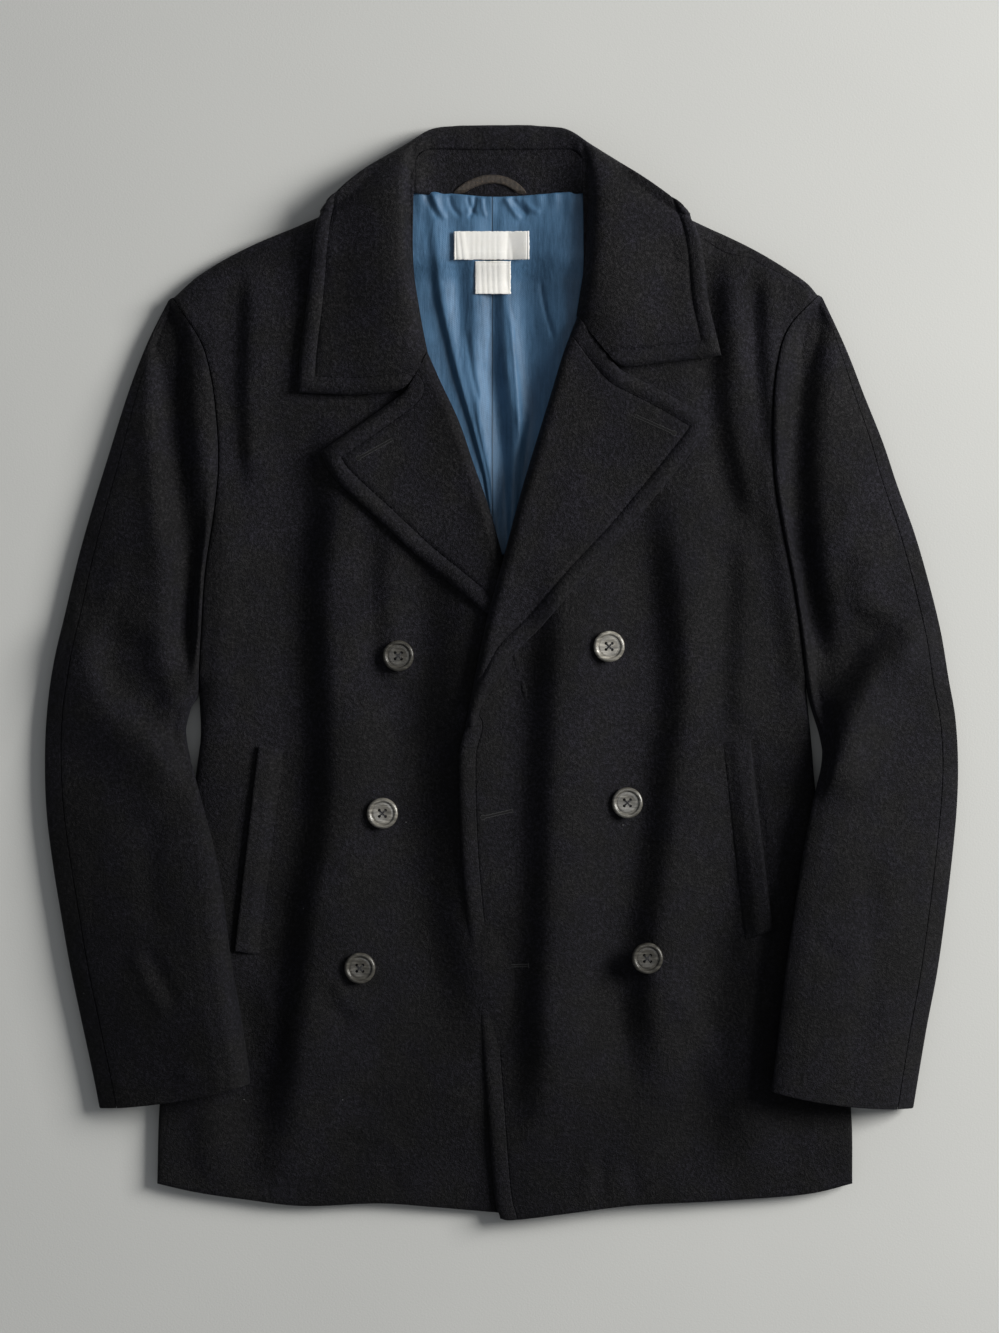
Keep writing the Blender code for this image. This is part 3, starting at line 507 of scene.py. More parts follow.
def hornFinish(name, paintedLightFactor, turn):
    shine = min(1.0, paintedLightFactor)
    surface = {
        "Coat Weight": horn["coat"] * shine * shine,
        "Coat Roughness": horn["coatRoughness"],
        "Specular IOR Level": horn["gloss"] * shine,
    }
    material, tree, shader = newMaterial(name, horn["grain"][1][1], horn["roughness"][0], surface)
    spot = placeIn(tree)
    grain = noiseOf(tree, drawnOut(tree, spot, horn["drawn"], turn), horn["bumps"], 4.0, 0.6, "grain")
    # painted light: each button's own copy of the horn colour is scaled by how lit that button should look
    stops = [(place, tuple(paintedLightFactor * part for part in tone)) for place, tone in horn["grain"]]
    tree.links.new(ramp(tree, grain, stops), shader.inputs["Base Color"])
    scuff = noiseOf(tree, spot, horn["scuffs"], 3.0, 0.7, "scuffs")
    tree.links.new(spread(tree, scuff, 0.3, 0.7, horn["roughness"]), shader.inputs["Roughness"])
    bumpFrom(tree, shader, scuff, 0.00006, 1.0)
    return material


def threadFinish(name, colour):
    material, tree, shader = newMaterial(name, colour, 0.75, {"Sheen Weight": 0.2})
    twist = noiseOf(tree, placeIn(tree), 2600.0, 2.0, 0.6, "twist")
    darker = tuple(0.5 * part for part in colour)
    tree.links.new(ramp(tree, twist, [(0.35, darker), (0.6, colour)]), shader.inputs["Base Color"])
    bumpFrom(tree, shader, twist, 0.0002, 1.0)
    return material


tape = {
    "tones": [(0.35, (0.010, 0.006, 0.003)), (0.6, (0.030, 0.019, 0.011)), (0.75, (0.080, 0.053, 0.031))],
    "fleck": 900.0,
    "ribs": 330.0,
    "roughness": 0.7,
    "surface": {"Sheen Weight": 0.1},
}


def hangerFinish():
    middle = tape["tones"][1][1]
    material, tree, shader = newMaterial("hangerTape", middle, tape["roughness"], tape["surface"])
    spot = placeIn(tree)
    rib = waveOf(tree, spot, "X", tape["ribs"], 0.6, "ribs")
    fleck = noiseOf(tree, spot, tape["fleck"], 2.0, 0.6, "fleck")
    tree.links.new(ramp(tree, fleck, tape["tones"]), shader.inputs["Base Color"])
    bumpFrom(tree, shader, mathOf(tree, "ADD", rib, fleck), 0.0003, 0.8)
    return material


woven = {
    "tones": [(0.3, (0.94, 0.925, 0.88)), (0.65, (0.97, 0.96, 0.93))],
    "cloud": 140.0,
    "weft": 520.0,
    "warp": 700.0,
    "warpShare": 0.6,
    "stitches": 1.6,  # depth of the row that holds it
    "roughness": 0.7,
    "surface": {"Sheen Weight": 0.05},
}


def labelFinish():
    pale = woven["tones"][1][1]
    material, tree, shader = newMaterial("wovenLabel", pale, woven["roughness"], woven["surface"])
    spot = placeIn(tree)
    weft = waveOf(tree, spot, "Y", woven["weft"], 0.4, "weft")
    warp = waveOf(tree, spot, "X", woven["warp"], 0.4, "warp")
    cloud = noiseOf(tree, spot, woven["cloud"], 3.0, 0.6, "cloud")
    tree.links.new(ramp(tree, cloud, woven["tones"]), shader.inputs["Base Color"])
    stitches = spread(tree, awayFrom(tree, "seam", seamMark), 0.5, 0.1)
    height = summed(tree, (weft, 1.0), (warp, woven["warpShare"]), (stitches, -woven["stitches"]))
    bumpFrom(tree, shader, height, 0.00012, 0.9)
    return material


woolFinish, satinFinish, tapeFinish, wovenFinish = meltonWool(), blueSatin(), hangerFinish(), labelFinish()
darkThread = threadFinish("darkThread", (0.010, 0.010, 0.013))
holeThread = threadFinish("buttonholeThread", (0.006, 0.006, 0.008))
slitShadowFinish = newMaterial("shadowInSlit", (0.0015, 0.0015, 0.002), 1.0)[0]
print("finishes made")


# Body

body = {
    "rimTop": 8.5,  # top of a front at the side seam and at the shoulder
    "rimReach": 17.0,
    "curl": 3.0,  # how far the back rises towards its side seams and shoulders
    "curlReach": 14.0,
    "neckLift": 6.2,  # how far the cloth is lifted by the collar folded under it
    "neckShare": 0.9,  # of the lift that the fronts take
    "neckFrom": 294.0,
    "neckReach": 24.0,
    "neckSide": 162.0,
    "setback": 5.6,  # from the roll to the edge of the front beneath it
    "rollFrom": 4,  # points of that line that a front's own edge takes the place of
    "neck": [(-65, 372), (-38, 365), (-2, 362), (34, 365), (61, 372)],
    "hemBack": [(-261, -387), (-229, -392), (-150, -400), (0, -405), (102, -401), (230, -392), (266, -387)],
    "seamAt": -1.0,  # the back's centre seam
    "rumples": [(0.5, 62.0, 0), (0.3, 24.0, 40), (0.09, 9.0, 60)],  # rise, size, step from a front's seed
    "dropReach": 38.0,
    "borderFade": 20.0,
    "edgeRun": 400.0,  # about a front edge's length
    "length": 780.0,
    "width": 500.0,
    "columns": 96,
    "rows": 214,
    "backColumns": 90,
    "backRows": 120,
}

# A front's lines run up the coat, but its hem to +X and its shoulder to the neck. "heights" has place up
# the coat, height at the side seam and height at the centre; "drop" has place up the coat and how far
# the edge lies lower there. "sign" is the side of its roll that the front lies on.

rightFront = {
    "side": [(-261, -387), (-259, -324), (-251, -248), (-241, -172), (-232, -81), (-228, -47), (-229, -11)],
    "armhole": [
        (-227, 32), (-224, 77), (-217, 124), (-214, 160), (-216, 198), (-220, 226), (-228, 252), (-249, 284),
    ],
    "shoulder": [(-249, 284), (-227, 303), (-190, 324), (-144, 343), (-100, 360), (-65, 372)],
    "hem": [(-261, -387), (-229, -394), (-194, -399), (-150, -404), (-94, -402), (-50, -405), (8, -410)],
    "edge": [(8, -410), (18, -335), (26, -246), (31, -175), (37, -102), (35, -62), (22, -15)],
    "roll": [(22, -15), (11, 45), (-6, 114), (-21, 158), (-32, 190), (-46, 220), (-55, 241)],
    "neck": [(-61, 273), (-64, 302), (-66, 349), (-62, 368)],
    "heights": [
        (-410, 10, 9), (-200, 11, 11), (-100, 12, 12), (0, 14, 14), (114, 15, 15), (241, 16, 16),
        (373, 13, 13),
    ],
    "folds": [
        (1.6, 10, [(-212, 150), (-211, 60), (-214, -40)]),
        (-1.2, 7, [(-134, -236), (-128, -254), (-112, -266)]),
        (0.9, 5, [(-126, -226), (-118, -248), (-96, -262)]),
        (0.5, 5, [(-122, -310), (-84, -316), (-48, -317), (-12, -318)]),
        (-0.8, 6, [(-92, -362), (-84, -376), (-80, -398)]),
        (0.7, 6, [(-120, -338), (-96, -352), (-70, -358)]),
        (-0.8, 6, [(-176, -232), (-168, -262), (-170, -300)]),
    ],
    "creases": [
        (1.9, 7, 15, [(-195, 312), (-194, 288), (-195, 250), (-196, 210), (-194, 165), (-190, 130)]),
        (
            5.4, 15.5, 34,
            [(-134, 222), (-136, 180), (-136, 130), (-141, 55), (-139, -20), (-139, -96), (-143, -134),
             (-151, -172), (-155, -209), (-158, -247), (-162, -285), (-166, -323), (-165, -361),
             (-164, -400)],
        ),
        (2.0, 10, 18, [(-90, 118), (-92, 70), (-90, 30), (-86, -20)]),
        (
            3.8, 19, 30,
            [(-40, 104), (-42, 50), (-47, 0), (-48, -60), (-46, -120), (-41, -180), (-34, -240), (-30, -300)],
        ),
        (1.6, 14, 20, [(-188, -220), (-182, -270), (-178, -320), (-178, -400)]),
        (1.1, 11, 20, [(-236, -330), (-228, -352), (-226, -392)]),
    ],
    "drop": [(-414, 0), (-40, 0)],
    "seams": [],
    "sign": 1,
    "seed": 11,
}

leftFront = {
    "side": [(266, -387), (265, -331), (256, -248), (247, -172), (238, -90), (235, -54), (231, -14)],
    "armhole": [(227, 25), (221, 66), (212, 112), (206, 150), (205, 195), (208, 232), (217, 261), (240, 286)],
    "shoulder": [(240, 286), (227, 299), (188, 323), (144, 343), (98, 360), (61, 372)],
    "hem": [(-1, -413), (10, -414), (51, -409), (102, -403), (165, -400), (230, -395), (266, -387)],
    "edge": [(-1, -413), (-6, -388), (-15, -272), (-23, -212), (-30, -139), (-32, -66), (-27, -40)],
    "roll": [
        (-27, -40), (-22, -13), (-11, 41), (2, 89), (14, 134), (29, 184), (38, 213), (46.5, 241),
        (54.5, 258),
    ],
    "neck": [(60, 280), (62, 302), (61, 349), (58, 368)],
    "heights": [
        (-410, 10, 15), (-200, 11, 22), (-100, 12, 26), (0, 14, 28), (70, 15, 26.5), (130, 15, 22),
        (200, 16, 18), (373, 13, 13),
    ],
    "folds": [
        (
            3.2, 9,
            [(181, 300), (182, 262), (184, 232), (191, 200), (200, 162), (207, 120), (213, 84), (218, 46),
             (223, 12), (231, -30)],
        ),
        (-0.9, 6, [(166, -70), (172, -120), (177, -172), (170, -232)]),
        (1.0, 7, [(118, -224), (140, -256), (158, -292), (166, -330)]),
        (0.6, 5, [(34, -308), (70, -312), (108, -316), (148, -324)]),
        (-0.9, 5, [(74, -362), (77, -380), (74, -402)]),
        (-0.9, 5, [(96, -366), (101, -384), (104, -402)]),
        (0.8, 5, [(62, -364), (66, -384), (62, -404)]),
        (-0.8, 9, [(100, -232), (92, -276), (98, -318)]),
        (-1.5, 2.2, [(189.5, -40), (192, -80), (199, -130), (206, -190)]),
    ],
    "creases": [
        (
            5.0, 14.5, 30,
            [(38, 100), (36, 85), (35, 55), (33, 17), (30.5, -20), (29, -58), (27.5, -96), (27, -134),
             (26, -172), (24.5, -209), (23, -247), (23, -285), (20, -325), (15, -370)],
        ),
        (
            5.0, 15, 30,
            [(112, 165), (116, 146), (122, 93), (126, 55), (129, 17), (129, -20), (124, -58), (120, -96),
             (116, -134), (111, -172), (106, -209), (104, -247), (108, -290), (112, -340)],
        ),
        (2.6, 9, 14, [(166, 322), (166, 290), (166, 250), (168, 205), (174, 165), (182, 130), (186, 100)]),
        (2.2, 7, 9, [(194, 312), (196, 288), (196, 250), (198, 215), (203, 176), (206, 150)]),
        (1.9, 10, 18, [(176, 110), (178, 85), (177, 55), (175, 17), (174, -20), (176, -60)]),
        (
            2.8, 19, 26,
            [(190, -110), (186, -160), (180, -209), (175, -260), (171, -310), (172, -360), (176, -396)],
        ),
    ],
    "drop": [(-414, 1.5), (-300, 3.0), (-200, 4.0), (-150, 2.5), (-100, 0.5), (-60, 0)],
    "seams": [[(153, 328), (169, 318), (188, 314), (196, 309), (209, 303), (226, 294)]],
    "sign": -1,
    "seed": 12,
}


def neckLift(x, y):
    up = smooth(body["neckFrom"], body["neckFrom"] + body["neckReach"], y)
    inside = smooth(body["neckSide"], body["neckSide"] - body["neckReach"], np.abs(x))
    return body["neckLift"] * up * inside


class Front:  # one front's lines, and the height of its outer face at any place
    def __init__(self, cut):
        self.cut = cut
        self.side = through(cut["side"])
        self.outer = through(cut["side"] + cut["armhole"])
        self.shoulder = through(cut["shoulder"])
        self.edge = through(cut["edge"])
        turned = setBack(through(cut["roll"] + cut["neck"]), cut["sign"] * body["setback"])
        self.centre = np.vstack([self.edge, turned[body["rollFrom"] :]])
        self.heights = np.array(cut["heights"], float)

    def top(self, x, y):
        outerX = np.interp(y, self.outer[:, 1], self.outer[:, 0])
        centreX = np.interp(y, self.centre[:, 1], self.centre[:, 0])
        share = smooth(0.0, 1.0, (x - outerX) / (centreX - outerX))
        beside, middle = (np.interp(y, self.heights[:, 0], self.heights[:, k]) for k in (1, 2))
        height = beside + (middle - beside) * share + folded(self.cut["folds"], x, y)
        height = height + cloth["relief"] * stepped(self.cut["creases"], x, y)
        for rise, size, step in body["rumples"]:
            height = height + rise * rumple(x, y, size, self.cut["seed"] + step)
        full = rounded(nearest(self.side, x, y)[0], body["rimReach"])
        full = full * rounded(nearest(self.shoulder, x, y)[0], body["rimReach"])
        height = body["rimTop"] + (height - body["rimTop"]) * full + body["neckShare"] * neckLift(x, y)
        edgeGap, edgeSide, edgeShare = nearest(self.edge, x, y)
        drop = np.interp(y, *np.array(self.cut["drop"], float).T)
        height = height - drop * smooth(body["dropReach"], 0.0, edgeGap)
        border = turnedEdge(edgeGap, edgeShare * body["edgeRun"])
        return height + border * smooth(body["borderFade"], 0.0, edgeGap)


def makeFront(name, front, mirrored):
    cut = front.cut
    hem = through(cut["hem"])
    v = stations(body["length"], hemSteps, hemSteps, body["rows"])[:, None]
    if mirrored:
        place = patch(hem, front.shoulder[::-1], front.centre, front.outer)
    else:
        place = patch(hem, front.shoulder, front.outer, front.centre)
    width = np.linalg.norm(along(front.outer, v[:, 0]) - along(front.centre, v[:, 0]), axis=-1)
    low, high = (edgeSteps, hemSteps) if mirrored else (hemSteps, edgeSteps)
    u = stations(width, low, high, body["columns"])
    spot = place(u, v)
    x, y = spot[..., 0], spot[..., 1]
    top = front.top(x, y)
    edgeGap, edgeSide, edgeShare = nearest(front.edge, x, y)
    rims = [hem, front.centre, front.outer, front.shoulder]
    gap = np.min([nearest(rim, x, y)[0] for rim in rims], axis=0)
    marks = {"border": edgeGap, "run": edgeShare * lengthsOf(front.edge)[-1]}
    depth, reach = cloth["seamDitch"]
    for points in cut["seams"]:
        seamGap, seamSide, seamShare = nearest(through(points), x, y)
        beside = marks.get("seam", 2.0 * seamMark)
        marks["seam"] = np.where(seamGap < cloth["seamReach"], seamMark + seamGap * seamSide, beside)
        top = top - depth * bell(seamGap, reach)
    return laidWall(name, x, y, top, top - cloth["wall"], gap, woolFinish, marks)


def makeBack(frontRight, frontLeft):
    neck = through(body["neck"])
    topLine = np.vstack([frontRight.shoulder, neck[1:-1], frontLeft.shoulder[::-1]])
    hem = through(body["hemBack"])
    place = patch(hem, topLine, frontRight.outer, frontLeft.outer)
    u = stations(body["width"], hemSteps, hemSteps, body["backColumns"])
    v = stations(body["length"], hemSteps, hemSteps, body["backRows"])[:, None]
    spot = place(u, v)
    x, y = spot[..., 0], spot[..., 1]
    rims = [frontRight.side, frontLeft.side, frontRight.shoulder, frontLeft.shoulder]
    gap = np.min([nearest(rim, x, y)[0] for rim in rims], axis=0)
    under = neckLift(x, y) + body["curl"] * np.clip(1.0 - gap / body["curlReach"], 0.0, 1.0) ** 2
    edges = [hem, topLine, frontRight.outer, frontLeft.outer]
    edgeGap = np.min([nearest(rim, x, y)[0] for rim in edges], axis=0)
    marks = {"seam": seamMark + x - body["seamAt"]}
    return laidWall("coatBack", x, y, under + cloth["wall"], under, edgeGap, woolFinish, marks)


frontRight, frontLeft = Front(rightFront), Front(leftFront)
coatBack = dress(makeBack(frontRight, frontLeft), "wool", "back")
rightPanel = dress(makeFront("rightPanel", frontRight, False), "wool", "front_right")
leftPanel = dress(makeFront("leftPanel", frontLeft, True), "wool", "front_left")
print("body made")


# Lapels

lapels = {
    "roll": 11.0,  # width over which the roll rounds over
    "spring": 3.4,  # how far a lapel stands off the front along its roll
    "springReach": 16.0,
    "springTop": (60.0, 130.0),  # places up the coat between which it sets in
    "springFoot": (-30.0, 60.0),  # the same for the left one, which is worn over the other
    "neckRise": 5.5,  # how much higher the roll is where the collar goes on
    "neckFrom": (0.6, 1.0),  # shares of its length
    "gorgeRim": 3.4,  # a seam, so its edge is hardly rounded
    "gorgeRise": 2.4,
    "gorgeReach": 13.0,
    "rimReach": 4.6,
    "fade": {"right": (1.0, 20.0), "left": (45.0, 0.0), "leftFrom": (215.0, 235.0)},  # of the border
    "length": 250.0,
    "fullWidth": 26.0,  # narrower than this, at the foot, its borders shrink with it
    "closed": (0.03, 0.12),  # shares of its length over which the fold at the roll starts
    "lipSteps": [0.0, 0.25, 0.6, 1.1, 1.8, 2.6, 3.1, 3.9, 5.0, 6.3, 7.8],
    "lipColumns": 6,
    "columns": 48,
    "rows": 150,
    "right": {
        "outer": [(17, -22), (-3, 34), (-20, 52), (-39, 68), (-61, 86), (-91, 114), (-125, 146), (-137, 167)],
        "notch": [(-137, 167), (-105, 189), (-80, 207), (-74, 211.5), (-71, 214.8)],
        "gorge": [(-71, 214.8), (-65.6, 223.6), (-55.9, 242.4)],
    },
    "left": {
        "outer": [
            (-19, -40), (-14, -22), (-3, -7), (9, 14), (30, 35), (60, 70), (90, 102), (120, 138),
            (145, 169), (160, 190),
        ],
        "notch": [(87.6, 231), (92, 227.5), (108, 219.5), (130, 208), (160, 190)],
        "gorge": [(57.4, 269.6), (74.7, 246.2), (84.4, 234.2), (87.6, 231)],
    },
}


class Lapel:
    def __init__(self, front, cut, mirrored):
        self.front, self.mirrored = front, mirrored
        rollPoints = front.cut["roll"]
        rollEnd = cut["gorge"][0] if mirrored else cut["gorge"][-1]
        self.roll = through(rollPoints[:-1] + [rollEnd])
        self.outer, self.notch, self.gorge = (through(cut[key]) for key in ("outer", "notch", "gorge"))
        parts = (self.gorge, self.notch) if mirrored else (self.notch, self.gorge)
        self.topEdge = np.vstack([parts[0], parts[1][1:]])
        self.foot = np.array([rollPoints[0], cut["outer"][0]], float)

    def under(self, x, y):
        fromRoll = nearest(self.roll, x, y)[0]
        standing = smooth(*lapels["springTop"], y)
        if self.mirrored:
            standing = standing + smooth(*lapels["springFoot"], y) * (1.0 - standing)
        rise = lapels["spring"] * standing * np.exp(-fromRoll / lapels["springReach"])
        rise = rise + lapels["gorgeRise"] * bell(nearest(self.gorge, x, y)[0], lapels["gorgeReach"])
        return self.front.top(x, y) + cloth["lie"] + rise

    def edges(self, x, y):  # distance to the turned edges, and the run along them
        outer, outerSide, outerShare = nearest(self.outer, x, y)
        line = self.topEdge if self.mirrored else self.notch
        top, topSide, topShare = nearest(line, x, y)
        run = np.where(outer < top, outerShare * lengthsOf(self.outer)[-1], topShare * lengthsOf(line)[-1])
        return np.minimum(outer, top), run

    def turned(self, x, y, gap, run):  # the border fades out towards the collar
        if self.mirrored:
            fromRoll = nearest(self.roll, x, y)[0]
            fade = 1.0 - smooth(*lapels["fade"]["left"], fromRoll) * smooth(*lapels["fade"]["leftFrom"], y)
        else:
            fade = smooth(*lapels["fade"]["right"], nearest(self.gorge, x, y)[0])
        return turnedEdge(gap, run) * fade

    def rim(self, x, y):  # distance to what is rounded off
        outer, notch, gorge = (nearest(line, x, y)[0] for line in (self.outer, self.notch, self.gorge))
        return np.minimum(np.minimum(outer, notch), gorge + lapels["gorgeRim"])

    def top(self, x, y):
        gap, run = self.edges(x, y)
        return self.under(x, y) + cloth["double"] + self.turned(x, y, gap, run)


def makeLapel(name, lapel):
    v = stations(lapels["length"], hemSteps[:4], edgeSteps, lapels["rows"])[:, None]
    width = np.linalg.norm(along(lapel.outer, v[:, 0]) - along(lapel.roll, v[:, 0]), axis=-1)
    scale = np.minimum(1.0, width / lapels["fullWidth"])
    low = np.array(lapels["lipSteps"]) * scale[:, None] / width[:, None]
    high = 1.0 - np.array(edgeSteps)[::-1] * scale[:, None] / width[:, None]
    first, last = low[:, -1:], high[:, :1]
    middle = first + (last - first) * np.linspace(0, 1, lapels["columns"] + 1)[1:-1]
    fromRoll = np.concatenate([low, middle, high], axis=-1)
    if lapel.mirrored:
        spot = patch(lapel.foot, lapel.topEdge, lapel.roll, lapel.outer)(fromRoll, v)
    else:
        spot = patch(lapel.foot[::-1], lapel.topEdge, lapel.outer, lapel.roll)(1.0 - fromRoll, v)
    x, y = spot[..., 0], spot[..., 1]
    under = lapel.under(x, y)
    gap, run = lapel.edges(x, y)
    top = under + cloth["double"] + lapel.turned(x, y, gap, run)
    rim = lapel.rim(x, y)
    outer, inner = pinch(np.stack([x, y, top], -1), np.stack([x, y, under], -1), rim, lapels["rimReach"])
    top, under = outer[..., 2], inner[..., 2]
    distance = fromRoll * width[:, None]
    closed = smooth(*lapels["closed"], v)
    rollZ = lapel.front.top(x, y) - cloth["wall"] + lapels["neckRise"] * smooth(*lapels["neckFrom"], v)
    edge = under + (rollZ - under) * closed
    top = edge + (top - edge) * rounded(distance, lapels["roll"])
    under = np.where(np.arange(fromRoll.shape[1]) < lapels["lipColumns"], edge, under)
    outer, inner = np.stack([x, y, top], -1), np.stack([x, y, under], -1)
    return clothWall(name, outer, inner, woolFinish, {"border": gap, "run": run})


lapelRight = Lapel(frontRight, lapels["right"], False)
lapelLeft = Lapel(frontLeft, lapels["left"], True)
rightLapel = dress(makeLapel("rightLapel", lapelRight), "wool", "lapel_right")
leftLapel = dress(makeLapel("leftLapel", lapelLeft), "wool", "lapel_left")
print("lapels made")


# Collar and stand

# Its lines run from the right end to the left one: x, y and, but for the stand, height.
collar = {
    "lip": [
        (-56.8, 241.5, 18), (-62.6, 273, 19), (-66.4, 310, 20), (-66.5, 349, 21), (-65.5, 374, 21),
        (-64, 390, 17.4), (-54, 395.8, 14.8), (-24, 396, 14.4), (-2, 396.2, 14.4), (20, 396, 14.4),
        (50, 395.8, 14.8), (60, 390, 17.4), (61, 374, 21), (61.5, 349, 22), (61.7, 310, 22),
        (60.2, 290, 20), (58, 270, 18),
    ],
    "roll": [
        (-55.6, 241, 27), (-62, 273, 31), (-68, 310, 33.5), (-70, 349, 33.5), (-70, 376, 31),
        (-66.5, 399, 21), (-52, 412, 9), (-26, 415, 6.5), (-2, 415.2, 6.5), (22, 415, 6.5), (48, 412, 9),
        (62.5, 399, 21), (66, 376, 31), (66, 349, 35), (63.5, 310, 35), (60.3, 290, 32), (57, 269, 27),
    ],
    "outer": [
        (-154, 212, 22), (-152, 242, 22), (-147, 280, 22), (-143.5, 315, 24), (-140.5, 338, 25),
        (-136, 349, 20), (-130, 356, 12), (-116, 347, 1), (-64, 333, 0), (0, 328, 0), (68, 333, 0),
        (124, 346, 1), (135, 354, 12), (142.5, 345, 20), (148.5, 332, 25), (153, 310, 24), (156, 282, 22),
        (161, 261, 22), (166, 240, 22),
    ],
    "turnBow": (5.5, 2.5),  # how far the leaf bows out where it turns under the back, right and left
    "turnAt": (397.0, 14.0),  # place up the coat and reach of that turn
    "endRight": [
        (-55.6, 241, 26), (-65.9, 223.9, 25.5), (-71.4, 215.2, 25), (-75, 213.2, 24.5), (-84, 212, 24),
        (-115, 210, 23), (-154, 212, 22),
    ],
    "endLeft": [
        (57, 269, 26), (75, 246.6, 25.5), (85, 234.8, 25), (88.2, 231.6, 24.5), (92, 230.8, 24.5),
        (104, 232, 24), (166, 240, 22),
    ],
    "slope": (0.9, 0.12),  # shares of the leaf's width between which it rises to the roll
    "gorgeShare": (0.38, 0.30),  # of an end's length from the roll, that is sewn to the lapel
    "endPart": 8,  # the ends' own shape fades out over an eighth of the collar
    "carriedShare": (0.25, 0.5),  # of the leaf's width, between which it comes to lie on the lapels
    "carriedHigh": (8.0, 16.0),  # where its outer edge is higher than this
    "hug": (24.0, 12.0),  # heights of the roll between which the back leaf starts to lie close
    "lipRound": 3.0,
    "crown": 0.8,  # share of the lip's height that is rounded off at the roll
    "rumples": {"leaf": (0.5, 40.0, 21), "roll": [(0.7, 13.0, 27), (0.3, 6.0, 28)]},  # rise, size, seed
    "backRoll": (395.0, 403.0),  # places up the coat between which the roll's own unevenness starts
    "endRun": 90.0,  # about the length of a front end's stitched edge
    "seamPoints": 24,  # of an end's line that lie along the lapel's seam
    "toNeck": (0.9, 0.45),  # which way the lip faces: towards the neck, up
    "rimReach": 4.6,
    "rimFrom": 2.6,
    "leafWidth": 100.0,
    "borderFrom": (8.0, 22.0),  # height of the outer edge from which its border shows
    "crownReach": 13.0,  # width over which the roll rounds over
    "lipRows": 12,
    "leafSteps": [0.0, 1.0, 2.0, 3.0, 4.0, 5.0, 6.0, 7.0, 8.2, 9.6, 11.2, 13.0, 15.0],
    "leafRows": 30,
    "columns": 230,
    "sharePerMm": 0.002,
    "roundings": 16,
    "heldRows": 5,  # at the lip's foot, over which the rounding starts
    "roundedRows": (26.0, 12.0),  # beyond the roll, between which it ends
    "restore": 6.0,  # rows over which the roll is put back to its place after the rounding
    "standWall": 4.0,
    "standTop": [
        (-67.5, 363), (-67, 378), (-64, 389.5), (-53, 396.4), (-24, 397.2), (-2, 397.4), (20, 397.2),
        (49, 396.4), (60, 389.5), (63, 378), (63.5, 363),
    ],
    "standFoot": [(-66.5, 362.5), (-38, 360.6), (-7, 358.3), (22, 359.6), (62.5, 362.5)],
    "standLow": 13.2,
    "standRise": 7.4,
    "standEase": 0.4,  # how much less its sides rise at the top than at the foot
    "standEaseFrom": (374.0, 394.0),
    "standMiddle": (-2.0, 62.0),  # place across and half-width
    "standSize": (118.0, 30.0),
    "standColumns": 80,
    "standRows": 16,
    "standRumple": (0.3, 18.0, 31),
    "standSewn": 2.4,  # its top is sewn down, so it is hardly rounded there
}


